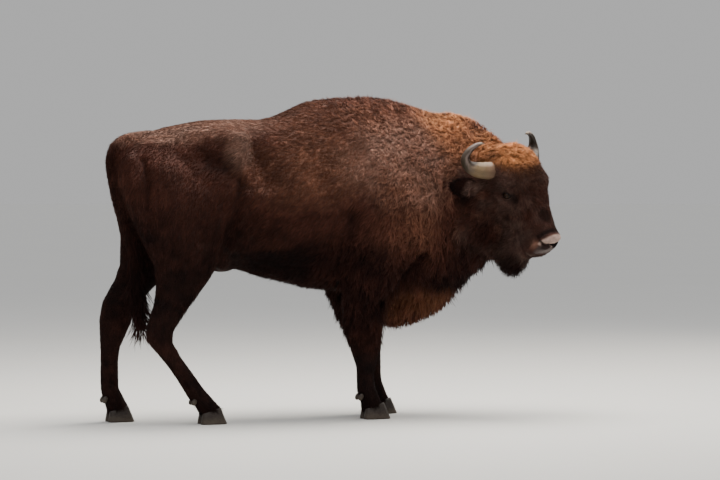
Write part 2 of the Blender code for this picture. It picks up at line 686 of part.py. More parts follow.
def eye(side):
    along, out, up = EYE_PLACE
    return ellipsoid("eye_" + SIDE_NAMES[side], in_head(along, side * out, up),
                     (EYE_RADIUS,) * 3, segments=12, rings=8)


# ------------------------------------------------------------------ feet
def hoof(foot, inner_side):
    """One half of a cloven hoof, flat on the floor. inner_side is 1 for the half nearer +Y."""
    rims = []
    for z, rear, front, inner, outer in curve_through(HOOF, 4):
        centre = Vector((foot.x + (rear + front) / 2 * foot.size, 0, z))
        centre.y = foot.y + inner_side * (inner + outer) / 2
        rims.append(rim(centre, Vector((0, 1, 0)), Vector((1, 0, 0)), (outer - inner) / 2,
                        (front - rear) / 2 * foot.size, (front - rear) / 2 * foot.size,
                        2.2, 3.0, count=12))
    form = loft(foot.name + ("_hoof_a" if inner_side > 0 else "_hoof_b"), rims)
    above = box("above", (-0.3, -0.3, -GAP / 2), (0.3, 0.3, 0.3), coronet(foot))
    boolean(form, above, "DIFFERENCE")
    discard(above)
    return main_piece(form)


def coronet(foot):
    """The frame of the plane where horn meets hair: higher at the toe."""
    middle = Vector((foot.x + CORONET_MIDDLE * foot.size, foot.y, CORONET_HEIGHT))
    return Matrix.Translation(middle) @ Matrix.Rotation(-CORONET_TILT, 4, "Y")


def dewclaw(foot, side):
    """A small horn behind the fetlock."""
    centre = (foot.x + foot.claw, foot.y + side * DEWCLAW_OUT, DEWCLAW_HEIGHT)
    return ellipsoid(foot.name + ("_dewclaw_a" if side > 0 else "_dewclaw_b"), centre,
                     DEWCLAW_RADII, (0, DEWCLAW_LEAN, 0), segments=7, rings=5)


# ------------------------------------------------------------------ the cow
def painted(thing, colour):
    """Gives a node its own material and shades it smooth."""
    material = bpy.data.materials.new(thing.name)
    material.use_nodes = True
    shader = material.node_tree.nodes["Principled BSDF"]
    shader.inputs["Base Color"].default_value = (*COLOURS[colour], 1)
    shader.inputs["Roughness"].default_value = ROUGHNESS.get(colour, 0.85)
    shader.inputs["Metallic"].default_value = 0
    thing.data.materials.clear()
    thing.data.materials.append(material)
    bm = bmesh.new()
    bm.from_mesh(thing.data)
    bmesh.ops.triangulate(bm, faces=bm.faces)
    bm.to_mesh(thing.data)
    bm.free()
    thing.data.shade_smooth()
    thing.data.set_sharp_from_angle(angle=math.radians(40))
    return thing


def build_head(head):
    """Parts the head into its pieces and sets in the eyes, horns and ears."""
    level = Matrix.Translation((*BEARD_CENTRE, 0)) @ Matrix.Rotation(HEAD_YAW, 4, "Z")
    beard = parted(head, "beard", (-0.4, -0.3, 0.5), (0.4, 0.3, BEARD_CUT_HEIGHT), level)
    ahead = (0.5, 0.3, 0.4)
    muzzle = parted(head, "muzzle", (MUZZLE_CUT, -0.3, -0.4), ahead, head_matrix())
    nose = parted(muzzle, "nose", (NOSE_CUT, -0.3, LIP_LEVEL), ahead, head_matrix())
    for side in (-1, 1):
        along, out, up = NOSTRIL_PLACE
        nostril = ellipsoid("nostril", in_head(along, side * out, up), NOSTRIL_RADII,
                            segments=10, rings=6)
        boolean(nose, nostril, "DIFFERENCE")
        discard(nostril)
    insets = []
    for side in (-1, 1):
        for inset, colour in ((eye(side), "eye"), (horn(side), "horn"), (ear(side), "coat_dark")):
            make_room(head, inset)
            insets.append(painted(inset, colour))
    painted(beard, "coat_dark")
    painted(muzzle, "coat_dark")
    painted(main_piece(nose), "nose_skin")
    painted(head, "coat_dark")
    return [inset for inset in insets if inset.name.startswith("ear")]


def build_leg(body, foot):
    """Parts a leg at its joints and sets on its hooves and dewclaws."""
    for part, low, high in foot.cuts:
        near, far = sorted((low[1] * foot.side, high[1] * foot.side))
        piece = parted(body, foot.name + "_" + part, (low[0], near, low[2]), (high[0], far, high[2]))
        if part == "foot":
            below = box("below", (-0.3, -0.3, -0.3), (0.3, 0.3, GAP / 2), coronet(foot))
            boolean(piece, below, "DIFFERENCE")
            discard(below)
            main_piece(piece)
            for side in (-1, 1):
                claw = dewclaw(foot, side)
                make_room(piece, claw)
                painted(claw, "hoof")
                painted(hoof(foot, side), "hoof")
        painted(piece, "coat_dark")


def part_head(body):
    """Takes the head off the body. Each is thinned with a margin, then cut at the true place."""
    frame = frame_at(HEAD_PARTING, math.degrees(HEAD_YAW))
    margin = Vector((HEAD_MARGIN, HEAD_MARGIN, HEAD_MARGIN))
    low, high = Vector((0, -HEAD_HALF_WIDTH, -1)), Vector((0.8, HEAD_HALF_WIDTH, 1))
    head = copy_of(body, "head")
    wide = box("wide", low - margin, high + margin, frame)
    narrow = box("narrow", low + margin, high - margin, frame)
    boolean(head, wide, "INTERSECT")
    boolean(body, narrow, "DIFFERENCE")
    discard(wide, narrow)
    thinned(main_piece(head), HEAD_TRIANGLES)
    thinned(main_piece(body), BODY_TRIANGLES)
    reach = Vector((GAP, GAP, GAP)) / 2
    inner = box("inner", low + reach, high - reach, frame)
    outer = box("outer", low - reach, high + reach, frame)
    boolean(head, inner, "INTERSECT")
    boolean(body, outer, "DIFFERENCE")
    discard(inner, outer)
    main_piece(body)
    return main_piece(head)


def settle():
    """Moves the whole cow so the origin lies on the floor under the middle of its outline."""
    corners = []
    for thing in cow.objects:
        points = np.empty(len(thing.data.vertices) * 3)
        thing.data.vertices.foreach_get("co", points)
        points = points.reshape(-1, 3)
        corners += [points.min(axis=0), points.max(axis=0)]
    low, high = np.min(corners, axis=0), np.max(corners, axis=0)
    move = Matrix.Translation((-(low[0] + high[0]) / 2, -(low[1] + high[1]) / 2, -low[2]))
    for thing in cow.objects:
        thing.data.transform(move)


def build():
    body = fused_body()
    head = part_head(body)
    insets = build_head(head)
    for inset in insets:
        make_room(body, inset)

    tail = bead_loft("tail", TAIL)
    main_piece(body)
    make_room(body, tail)
    tuft = parted(tail, "tail_tuft", (-2, -1, -1), (0, 1, TAIL_CUT_HEIGHT))
    painted(tail, "coat_dark")
    painted(tuft, "coat_dark")

    for foot in FEET:
        build_leg(body, foot)
    udder = parted(body, "udder", *UDDER_BOX)
    painted(udder, "coat_brown")
    dewlap = parted(body, "dewlap", (0, -0.3, -0.6), (1.2, 0.3, 0),
                    frame_at(DEWLAP_PARTING, 0, DEWLAP_PITCH))
    painted(dewlap, "coat_russet")
    neck = parted(body, "neck", (0, -1, -1), (1, 1, 1), frame_at(NECK_PARTING, NECK_YAW))
    painted(neck, "coat_russet")
    chest = parted(body, "forequarters", (CHEST_CUT, -1, 0), (1, 1, 2))
    painted(chest, "coat_brown")
    rump = parted(body, "hindquarters", (-2, -1, 0), (RUMP_CUT, 1, 2))
    painted(rump, "coat_dark")
    body.name = "barrel"
    painted(body, "coat_dark")
    settle()


def clear_scene():
    for thing in list(bpy.data.objects):
        bpy.data.objects.remove(thing)


clear_scene()
cow = bpy.data.collections.new("wisent")
bpy.context.scene.collection.children.link(cow)
build()
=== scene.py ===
"""The looks of a standing wisent cow, life size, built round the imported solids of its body.

One skin stands for every node of flesh and lies inside it by the depth of the coat. Locks of
hair, each a small closed solid, grow from that skin along the lie of the coat.
"""

import sys

import logging
import math
from dataclasses import astuple, dataclass, field, fields
from enum import Enum
from typing import ClassVar, NamedTuple

import bmesh
import bpy
import numpy as np
from mathutils import Matrix, Vector
from mathutils.bvhtree import BVHTree
from mathutils.kdtree import KDTree


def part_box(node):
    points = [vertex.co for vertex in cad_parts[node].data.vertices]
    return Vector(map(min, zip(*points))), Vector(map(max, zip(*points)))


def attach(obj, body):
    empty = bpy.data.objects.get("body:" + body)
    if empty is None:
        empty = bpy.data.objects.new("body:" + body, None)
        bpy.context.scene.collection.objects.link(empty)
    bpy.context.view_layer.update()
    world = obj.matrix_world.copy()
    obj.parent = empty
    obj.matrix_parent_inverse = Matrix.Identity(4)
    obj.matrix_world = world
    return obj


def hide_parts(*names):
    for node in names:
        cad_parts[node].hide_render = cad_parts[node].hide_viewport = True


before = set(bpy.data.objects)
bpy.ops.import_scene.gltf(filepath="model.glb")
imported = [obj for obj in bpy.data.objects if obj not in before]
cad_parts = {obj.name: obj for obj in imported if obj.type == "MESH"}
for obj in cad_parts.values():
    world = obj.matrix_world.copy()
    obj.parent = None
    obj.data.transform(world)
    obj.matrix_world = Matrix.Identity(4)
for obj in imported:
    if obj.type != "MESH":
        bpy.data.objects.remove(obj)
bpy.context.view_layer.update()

log = logging.getLogger("wisent")
BODY = "root"
SEED = 1907
DOWN = np.array((0.0, 0.0, -1.0))
SIDES = {"right": 1, "left": -1}  # the sign of the head frame's second axis on each side
WELD = 0.00001  # how near two corners of a solid are that are one

Array = np.ndarray
Mesh = bpy.types.Mesh
Material = bpy.types.Material
Socket = bpy.types.NodeSocket
Place = tuple[float, float, float]
Colour = tuple[float, float, float, float]
Feed = Socket | float | tuple
Table = dict[str, Array]

HEAD_FRAME = ""  # stands where a node's name would, for places in the head's frame
FORELEGS = ["fore_left_foot", "fore_left_forearm", "fore_right_foot", "fore_right_forearm"]
HIND_LEGS = ["hind_left_foot", "hind_left_shank", "hind_right_foot", "hind_right_shank"]
FLESH = ["barrel", "beard", "dewlap", "ear_left", "ear_right", *FORELEGS, "forequarters", "head",
         *HIND_LEGS, "hindquarters", "muzzle", "neck", "nose", "tail", "tail_tuft", "udder"]


# ---------------- plain helpers
def unit(vectors: Array) -> Array:
    """Vectors of length one along the last axis."""
    return vectors / np.maximum(np.linalg.norm(vectors, axis=-1, keepdims=True), 1e-9)


def ramp(low: float, high: float, value: Array) -> Array:
    """A smooth step from 0 at low to 1 at high."""
    t = np.clip((value - low) / (high - low), 0, 1)
    return t * t * (3 - 2 * t)


def hill(value: Array, centre: float, width: float) -> Array:
    """1 where the value is at the centre, falling away smoothly over the width."""
    return np.exp(-(((value - centre) / width) ** 2))


def corners(node: str) -> tuple[Array, Array]:
    """The lowest and highest corner of a CAD node."""
    low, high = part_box(node)
    return np.array(low), np.array(high)


def middle(node: str) -> Array:
    """The centre of a CAD node's box."""
    low, high = corners(node)
    return (low + high) / 2


def within(node: str, share: Place) -> Array:
    """The point at these shares of a CAD node's box."""
    low, high = corners(node)
    return low + (high - low) * np.array(share)


def pair(node: str) -> str:
    """A node's name without its side."""
    return node.replace("_left", "").replace("_right", "")


def curve_through(rows: list[tuple[float, ...]], count: int) -> Array:
    """Rows of numbers along a smooth curve through the given rows.

    Args:
        rows: the rows that the curve passes, in order.
        count: how many rows come back.

    Returns:
        An array with count rows.
    """
    points = np.array(rows, float)
    padded = np.vstack([2 * points[0] - points[1], points, 2 * points[-1] - points[-2]])
    result = []
    for place in np.linspace(0, len(points) - 1, count):
        i = min(int(place), len(points) - 2)
        t = place - i
        a, b, c, d = padded[i : i + 4]
        result.append(
            0.5 * (2 * b + (c - a) * t + (2 * a - 5 * b + 4 * c - d) * t**2
                   + (3 * b - a - 3 * c + d) * t**3)
        )
    return np.array(result)


def mesh_from_arrays(name: str, points: Array, corner_points: Array,
                     face_sizes: Array) -> Mesh:
    """A smooth-shaded mesh from flat arrays.

    Args:
        name: the mesh's name.
        points: the vertices, one row each.
        corner_points: the vertex of every face corner, face after face.
        face_sizes: how many corners each face has.

    Returns:
        The mesh.
    """
    mesh = bpy.data.meshes.new(name)
    mesh.vertices.add(len(points))
    mesh.vertices.foreach_set("co", points.astype(np.float32).ravel())
    mesh.loops.add(len(corner_points))
    mesh.loops.foreach_set("vertex_index", corner_points.astype(np.int32))
    starts = np.concatenate(([0], np.cumsum(face_sizes)[:-1]))
    mesh.polygons.add(len(face_sizes))
    mesh.polygons.foreach_set("loop_start", starts.astype(np.int32))
    mesh.update(calc_edges=True)
    mesh.shade_smooth()
    return mesh


def mesh_from_form(name: str, form: bmesh.types.BMesh) -> Mesh:
    """A mesh from an edited form.

    Args:
        name: the mesh's name.
        form: the form, which is freed.

    Returns:
        The mesh.
    """
    mesh = bpy.data.meshes.new(name)
    form.to_mesh(mesh)
    form.free()
    return mesh


def welded(node: str) -> bmesh.types.BMesh:
    """A copy of a CAD node's solid with its corners joined.

    Args:
        node: the node.

    Returns:
        The form to edit.
    """
    form = bmesh.new()
    form.from_mesh(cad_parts[node].data)
    bmesh.ops.remove_doubles(form, verts=form.verts, dist=WELD)
    return form


def put(name: str, data: bpy.types.ID | None) -> bpy.types.Object:
    """Puts a mesh, a light or a camera in the scene."""
    thing = bpy.data.objects.new(name, data)
    bpy.context.scene.collection.objects.link(thing)
    return thing


def modified(mesh: Mesh, kind: str, **settings: float | str) -> Mesh:
    """What a modifier makes of a mesh.

    Args:
        mesh: the mesh that it starts from.
        kind: the modifier's type name.
        settings: the modifier's own properties.

    Returns:
        The new mesh.
    """
    holder = put("holder", mesh)
    modifier = holder.modifiers.new(kind.lower(), kind)
    for key, value in settings.items():
        setattr(modifier, key, value)
    depsgraph = bpy.context.evaluated_depsgraph_get()
    result = bpy.data.meshes.new_from_object(holder.evaluated_get(depsgraph))
    bpy.data.objects.remove(holder)
    return result


def reshape(mesh: Mesh, points: Array) -> None:
    """Moves a mesh's vertices to these points and shades it smooth."""
    mesh.vertices.foreach_set("co", points.astype(np.float32).ravel())
    mesh.update()
    mesh.shade_smooth()


def show(name: str, mesh: Mesh, finish: Material,
         stands_for: list[str]) -> None:
    """Puts a finished mesh in the scene as a piece of the wisent.

    Args:
        name: the piece's name.
        mesh: its mesh, in the frame's coordinates.
        finish: its material.
        stands_for: the CAD nodes that it replaces.
    """
    piece = put(name, mesh)
    mesh.materials.clear()
    mesh.materials.append(finish)
    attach(piece, BODY)
    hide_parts(*stands_for)
    log.info("%s: %d faces", name, len(mesh.polygons))


def store(mesh: Mesh, name: str, values: Array) -> None:
    """Writes an attribute of the mesh.

    Args:
        mesh: the mesh.
        name: the attribute's name.
        values: one number or one vector for each vertex.
    """
    kind = "FLOAT" if values.ndim == 1 else "FLOAT_VECTOR"
    attribute = mesh.attributes.new(name, kind, "POINT")
    attribute.data.foreach_set("value" if values.ndim == 1 else "vector",
                               values.astype(np.float32).ravel())


# ---------------- the head's frame
@dataclass(frozen=True)
class HeadFrame:
    """Along the face, out to the animal's right, and up from the brow."""

    centre: Array
    axes: Array

    @classmethod
    def from_eyes(cls, pitch: float = math.radians(55), ahead: float = 0.012,
                  above: float = 0.034) -> "HeadFrame":
        """Finds the frame from the two eyes.

        Args:
            pitch: how far the face's line points below the horizon.
            ahead: how far the eyes are ahead of the frame's centre.
            above: how far they are above it.

        Returns:
            The head's frame.
        """
        right_eye, left_eye = middle("eye_right"), middle("eye_left")
        right = unit(right_eye - left_eye)
        heading = unit(np.array((-right[1], right[0], 0.0)))
        up = np.cross(right, heading)
        up = -up if up[2] < 0 else up
        forward = heading * math.cos(pitch) - up * math.sin(pitch)
        brow = heading * math.sin(pitch) + up * math.cos(pitch)
        centre = (right_eye + left_eye) / 2 - ahead * forward - above * brow
        return cls(centre, np.array((forward, right, brow)))

    def world(self, local: Array) -> Array:
        """From the head's coordinates to the frame's."""
        return self.centre + np.asarray(local) @ self.axes

    def local(self, points: Array) -> Array:
        """From the frame's coordinates to the head's."""
        return (points - self.centre) @ self.axes.T

    def turn(self, directions: Array) -> Array:
        """Directions in the head's coordinates, turned into the frame's."""
        return np.asarray(directions) @ self.axes


HEAD = HeadFrame.from_eyes()
MIDLINE = middle("hindquarters")[1]


# ---------------- what the coat is like
@dataclass(frozen=True)
class CoatStyle:
    """How the coat grows on one stretch of the body, in metres and degrees."""

    depth: float  # of the coat over the skin
    density: float  # locks in a square metre
    length: float
    width: float
    lift: float  # of a lock from the skin
    curl: float  # turns to the side along its length
    clump: float  # between the clumps that locks gather in
    gather: float  # how far the tips draw together
    sag: float  # how far gravity bends it
    sway: float  # how unlike its neighbours' its direction is


DEPTH, DENSITY, LENGTH = range(3)  # columns of a table of styles


class Pelt(Enum):
    """The kinds of coat that a wisent cow wears in autumn."""

    RUMP = CoatStyle(0.008, 30000, 0.028, 0.0042, 9, 0.2, 0.014, 0.25, 0.05, 0.18)
    BARREL = CoatStyle(0.011, 30000, 0.030, 0.0042, 14, 0.3, 0.014, 0.30, 0.10, 0.30)
    BELLY = CoatStyle(0.014, 22000, 0.044, 0.0046, 18, 0.4, 0.020, 0.50, 0.60, 0.30)
    SHOULDER = CoatStyle(0.017, 26000, 0.042, 0.0044, 20, 0.8, 0.018, 0.45, 0.30, 0.45)
    HUMP = CoatStyle(0.018, 34000, 0.033, 0.0042, 20, 0.9, 0.012, 0.30, 0.10, 0.50)
    NECK = CoatStyle(0.028, 26000, 0.048, 0.0050, 23, 1.2, 0.018, 0.42, 0.30, 0.60)
    MANE = CoatStyle(0.034, 17000, 0.105, 0.0062, 17, 0.6, 0.028, 0.75, 1.10, 0.26)
    APRON = CoatStyle(0.036, 16000, 0.095, 0.0062, 16, 0.6, 0.026, 0.70, 1.10, 0.28)
    FRINGE = CoatStyle(0.020, 15000, 0.080, 0.0056, 18, 0.4, 0.026, 0.70, 1.00, 0.30)
    BEARD = CoatStyle(0.030, 36000, 0.050, 0.0040, 11, 0.5, 0.016, 0.42, 1.30, 0.20)
    FOREARM = CoatStyle(0.010, 34000, 0.028, 0.0038, 15, 0.3, 0.014, 0.35, 0.30, 0.25)
    SHANK = CoatStyle(0.006, 36000, 0.020, 0.0032, 13, 0.1, 0.012, 0.25, 0.10, 0.18)
    FOOT = CoatStyle(0.004, 52000, 0.014, 0.0026, 12, 0.1, 0.008, 0.20, 0.05, 0.18)
    CROWN = CoatStyle(0.024, 92000, 0.040, 0.0030, 19, 0.9, 0.017, 0.45, 0.10, 0.42)
    BROW = CoatStyle(0.012, 70000, 0.031, 0.0028, 20, 0.9, 0.012, 0.50, 0.10, 0.45)
    FACE = CoatStyle(0.007, 115000, 0.016, 0.0025, 17, 0.3, 0.008, 0.30, 0.05, 0.32)
    CHEEK = CoatStyle(0.010, 80000, 0.024, 0.0030, 20, 0.7, 0.012, 0.45, 0.30, 0.45)
    JOWL = CoatStyle(0.018, 42000, 0.042, 0.0040, 19, 0.7, 0.018, 0.60, 0.90, 0.35)
    MUZZLE = CoatStyle(0.004, 150000, 0.008, 0.0017, 20, 0.0, 0.005, 0.10, 0.00, 0.25)
    BARE = CoatStyle(0.0008, 0, 0.005, 0.0015, 10, 0.0, 0.005, 0.10, 0.00, 0.10)
    EAR = CoatStyle(0.003, 80000, 0.016, 0.0025, 17, 0.3, 0.008, 0.30, 0.10, 0.30)
    NEAR_EAR = CoatStyle(0.014, 60000, 0.018, 0.0030, 16, 0.4, 0.012, 0.40, 0.20, 0.40)
    TAIL = CoatStyle(0.007, 42000, 0.026, 0.0032, 12, 0.1, 0.012, 0.40, 0.10, 0.14)
    SWITCH = CoatStyle(0.030, 24000, 0.160, 0.0052, 9, 0.5, 0.022, 0.70, 0.90, 0.22)


PELT_OF = {
    "barrel": Pelt.BARREL, "beard": Pelt.BEARD, "dewlap": Pelt.APRON, "ear": Pelt.EAR,
    "fore_foot": Pelt.FOOT, "fore_forearm": Pelt.FOREARM, "forequarters": Pelt.BARREL,
    "head": Pelt.FACE, "hind_foot": Pelt.FOOT, "hind_shank": Pelt.SHANK,
    "hindquarters": Pelt.RUMP, "muzzle": Pelt.MUZZLE, "neck": Pelt.NECK, "nose": Pelt.BARE,
    "tail": Pelt.TAIL, "tail_tuft": Pelt.SWITCH, "udder": Pelt.BARE,
}


@dataclass(frozen=True)
class Tone:
    """Shares of the markings' colours at one place."""

    ginger: float = 0.0
    tan: float = 0.0
    dark: float = 0.0
    pale: float = 0.0
    bare: float = 0.0
    worn: float = 0.0  # short, bleached hair where a bone lies under the skin; also painted highlights on the folds of the face and the top of the rump


GINGER, TAN, DARK, PALE, BARE, WEAR_AND_PAINTED_LIGHT = range(6)  # columns of a table of tones


def at_least(tones: Array, column: int, least: Array,
             rows: Array | slice = slice(None)) -> None:
    """Raises one column of a table of tones where it is less than it should be.

    Args:
        tones: the table, which changes.
        column: which tone.
        least: what each row should have at least.
        rows: which rows.
    """
    tones[rows, column] = np.maximum(tones[rows, column], least)


TONE_OF = {
    "beard": Tone(dark=1.0), "dewlap": Tone(ginger=0.08, dark=0.62), "ear": Tone(dark=0.85),
    "fore_foot": Tone(dark=0.9), "fore_forearm": Tone(dark=0.75),
    "head": Tone(dark=0.44, worn=0.20), "hind_foot": Tone(dark=0.8),
    "hind_shank": Tone(dark=0.65), "muzzle": Tone(dark=0.55, worn=0.10),
    "neck": Tone(tan=0.80, ginger=0.14), "nose": Tone(bare=1.0), "tail": Tone(dark=0.5),
    "tail_tuft": Tone(dark=0.95), "udder": Tone(bare=0.7, pale=0.2),
}


@dataclass(frozen=True)
class Accent:
    """A soft patch where the coat or its colour differs from the rest of its node, or where light
    or shade is painted.
    """

    place: Place  # in shares of a node's box, or in the head's frame
    reach: Place
    tone: Tone
    style: Pelt | None = None
    share: float = 1.0

    def weights(self, node: str, points: Array) -> Array:
        """How strongly the patch holds.

        Args:
            node: the node whose box the place is in.
            points: places in the frame.

        Returns:
            A number from 0 to 1 for each.
        """
        if node:
            centre = within(node, self.place)
            delta = points - centre
            other = delta.copy()
            other[:, 1] = points[:, 1] - (2 * MIDLINE - centre[1])
        else:
            local = HEAD.local(points)
            delta = local - np.array(self.place)
            other = delta.copy()
            other[:, 1] = local[:, 1] + self.place[1]
        reach = np.array(self.reach)
        far = np.minimum(np.linalg.norm(delta / reach, axis=1),
                         np.linalg.norm(other / reach, axis=1))
        return self.share * (1 - ramp(0.55, 1.25, far))


ACCENTS = {
    "barrel": [
        # painted shade on the lower barrel and the belly, where they turn under
        Accent((0.5, 0.5, 0.14), (0.60, 0.60, 0.22), Tone(dark=1.0)),
        Accent((0.5, 0.5, 0.0), (0.60, 0.34, 0.15), Tone(dark=1.0), Pelt.BELLY),
        # painted highlight along the fold of the flank
        Accent((0.10, 0.5, 0.29), (0.20, 0.60, 0.035), Tone(tan=0.10), share=0.8),
        Accent((0.95, 0.1, 0.10), (0.16, 0.24, 0.20), Tone(dark=0.8), Pelt.FRINGE, share=0.8),
        Accent((0.90, 0.5, 0.80), (0.34, 0.50, 0.30), Tone(tan=0.45), share=0.8),
        Accent((0.55, 0.5, 0.62), (0.40, 0.60, 0.20), Tone(tan=0.62), share=0.9),
    ],
    "forequarters": [
        Accent((0.95, 0.5, 0.55), (0.48, 0.60, 0.70), Tone(tan=0.70), Pelt.SHOULDER),
        Accent((0.70, 0.5, 1.00), (0.56, 0.50, 0.42), Tone(tan=0.45), Pelt.HUMP),
        Accent((0.60, 0.5, 0.66), (0.42, 0.60, 0.24), Tone(tan=1.0, worn=0.32), share=0.9),
        Accent((0.30, 0.5, 1.04), (0.40, 0.30, 0.10), Tone(tan=0.15), share=0.9),
        Accent((1.05, 0.5, 0.35), (0.20, 0.45, 0.30), Tone(tan=0.12, dark=0.10), Pelt.MANE,
               share=0.9),
        Accent((0.45, 0.5, 0.10), (0.34, 0.50, 0.22), Tone(dark=0.75), share=0.9),
        Accent((0.5, 0.5, 0.0), (0.45, 0.44, 0.24), Tone(dark=0.85), Pelt.FRINGE, share=0.9),
    ],
    "neck": [
        Accent((0.55, 0.5, 0.95), (0.30, 0.40, 0.22), Tone(tan=1.0, ginger=0.60)),
        Accent((0.60, 0.5, 0.30), (0.40, 0.45, 0.26), Tone(tan=0.06, dark=0.20), Pelt.MANE),
        Accent((0.92, 0.5, 0.34), (0.12, 0.45, 0.22), Tone(dark=0.80), share=0.9),
        Accent((0.70, 0.5, 0.00), (0.40, 0.45, 0.22), Tone(dark=1.0), Pelt.MANE),
    ],
    "dewlap": [Accent((0.48, 0.5, 0.20), (0.36, 0.35, 0.16), Tone(ginger=0.14, dark=0.28))],
    "hindquarters": [
        Accent((0.93, 0.12, 0.80), (0.08, 0.20, 0.11), Tone(worn=0.30, tan=1.0), share=0.9),
        # painted rim light on the top of the rump
        Accent((0.45, 0.5, 0.99), (0.55, 0.34, 0.13), Tone(tan=1.0, worn=0.34)),
        Accent((0.5, 0.5, 0.05), (0.55, 0.50, 0.40), Tone(dark=0.80), share=0.9),
    ],
    HEAD_FRAME: [
        Accent((-0.320, 0.0, 0.060), (0.170, 0.320, 0.180), Tone(ginger=0.25, tan=0.9), Pelt.NECK),
        Accent((-0.270, 0.0, 0.110), (0.120, 0.200, 0.110), Tone(ginger=0.60, tan=0.9), Pelt.CROWN),
        Accent((0.000, 0.0, 0.130), (0.150, 0.150, 0.070), Tone(tan=0.20, dark=0.42, worn=0.07),
               Pelt.BROW, share=0.9),
        Accent((-0.140, 0.0, 0.140), (0.110, 0.170, 0.080), Tone(tan=0.50, ginger=0.20, dark=0.15),
               Pelt.BROW),
        Accent((-0.105, 0.0, 0.125), (0.050, 0.170, 0.070), Tone(tan=0.60, ginger=0.10, dark=0.12),
               share=0.8),
        Accent((-0.190, 0.0, 0.150), (0.112, 0.190, 0.090), Tone(ginger=1.0, tan=0.4), Pelt.CROWN),
        Accent((-0.200, 0.120, 0.050), (0.080, 0.060, 0.070), Tone(ginger=0.40, tan=0.6, dark=0.1),
               Pelt.CROWN),
        Accent((-0.020, 0.150, -0.100), (0.120, 0.080, 0.080), Tone(dark=0.40, worn=0.17),
               Pelt.CHEEK),
        Accent((0.050, 0.140, -0.190), (0.130, 0.090, 0.070), Tone(dark=0.66), Pelt.JOWL),
        Accent((0.060, 0.180, -0.330), (0.170, 0.150, 0.120), Tone(dark=0.85), Pelt.MANE),
        Accent((-0.070, 0.215, -0.190), (0.085, 0.075, 0.085), Tone(dark=0.45, tan=0.12),
               Pelt.MANE),
        # painted shadow in the hollow under each ear, where its hair is short
        Accent((-0.120, 0.180, -0.130), (0.060, 0.100, 0.055), Tone(dark=1.0), Pelt.NEAR_EAR),
        Accent((0.060, 0.0, -0.200), (0.160, 0.120, 0.060), Tone(dark=1.0), Pelt.JOWL),
        Accent((0.078, 0.095, -0.062), (0.030, 0.040, 0.034), Tone(dark=1.0), share=0.8),
        # painted highlights on the folds of the cheeks
        Accent((0.001, 0.165, -0.135), (0.036, 0.050, 0.018), Tone(tan=0.60, worn=0.22),
               share=0.9),
        Accent((0.095, 0.071, -0.150), (0.040, 0.060, 0.018), Tone(tan=0.40, worn=0.16),
               share=0.9),
        Accent((-0.061, 0.168, -0.062), (0.022, 0.050, 0.040), Tone(tan=0.50, worn=0.16),
               share=0.8),
        Accent((0.125, 0.055, 0.015), (0.040, 0.030, 0.040), Tone(dark=0.15, worn=0.30),
               share=0.9),
        Accent((0.100, 0.000, 0.060), (0.150, 0.075, 0.060), Tone(dark=0.44, worn=0.19), share=0.9),
        Accent((0.175, 0.000, 0.065), (0.050, 0.045, 0.030), Tone(dark=0.95), share=0.8),
        # painted shade in the hollow before each eye's inner corner, under the brow
        Accent((0.047, 0.101, 0.044), (0.024, 0.045, 0.036), Tone(dark=1.0)),
    ],
}


@dataclass(frozen=True)
class Relief:
    """A ridge, or a groove, along a line on both of the animal's sides."""

    start: tuple[float, float]  # in shares of a node's box, seen from the side
    end: tuple[float, float]
    width: float
    push: float  # metres, outwards
    shade: float = 0.0  # painted shade along the line, from 0 to 1

    def shape(self, node: str, surface: "Surface", normals: Array,
              tones: Array) -> None:
        """Pushes the skin out or in along the line, and paints shade along it.

        Args:
            node: the node whose box the line is in.
            surface: the skin, which moves.
            normals: its outward normals.
            tones: its table of tones, which changes.
        """
        first = within(node, (self.start[0], 0.5, self.start[1]))[[0, 2]]
        last = within(node, (self.end[0], 0.5, self.end[1]))[[0, 2]]
        run = last - first
        spots = surface.points[:, (0, 2)] - first
        share = np.clip(spots @ run / max(run @ run, 1e-9), 0, 1)
        away = np.linalg.norm(spots - share[:, None] * run, axis=1)
        side = ramp(0.25, 0.70, np.abs(normals[:, 1]))
        outer = (surface.points[:, 1] - MIDLINE) * normals[:, 1] > 0
        held = hill(away, 0.0, self.width) * side * outer
        surface.points += normals * (held * self.push)[:, None]
        # painted shade along the line
        at_least(tones, DARK, held * self.shade)


# a fifth number paints shade along a groove
RELIEFS = {
    "hindquarters": [
        Relief((0.90, 0.76), (0.97, 0.86), 0.040, 0.026),  # hook bone
        Relief((0.95, 0.88), (0.50, 0.94), 0.030, 0.010),  # croup
        Relief((0.64, 0.72), (0.80, 0.68), 0.055, -0.026, 0.45),
        Relief((0.93, 0.58), (0.82, 0.12), 0.028, -0.026, 0.70),  # flank crease
        Relief((0.97, 0.50), (0.90, 0.16), 0.024, 0.012),
        Relief((0.68, 0.38), (0.62, 0.20), 0.046, -0.020, 0.50),
        Relief((0.36, 0.62), (0.42, 0.25), 0.085, 0.020),  # thigh
        Relief((0.06, 0.80), (0.10, 0.40), 0.028, 0.012),  # pin bone and below
        Relief((0.17, 0.72), (0.22, 0.20), 0.018, -0.016, 0.45),
    ],
    "barrel": [
        Relief((0.08, 0.74), (0.16, 0.58), 0.055, -0.018, 0.30),  # flank hollow
        Relief((-0.12, 0.28), (0.40, 0.26), 0.028, 0.016),  # fold of the flank
        Relief((-0.05, 0.18), (0.50, 0.16), 0.028, -0.016, 0.80),
    ],
    "forequarters": [
        Relief((-0.01, 0.42), (-0.02, 0.12), 0.036, -0.024, 0.65),  # behind the elbow
        Relief((0.22, 0.40), (0.28, 0.10), 0.080, 0.020),  # upper arm
        Relief((0.12, 0.80), (0.45, 0.50), 0.055, 0.012),  # shoulder blade
        Relief((0.34, 0.00), (0.72, 0.24), 0.038, -0.034, 0.95),  # before the arm
    ],
}


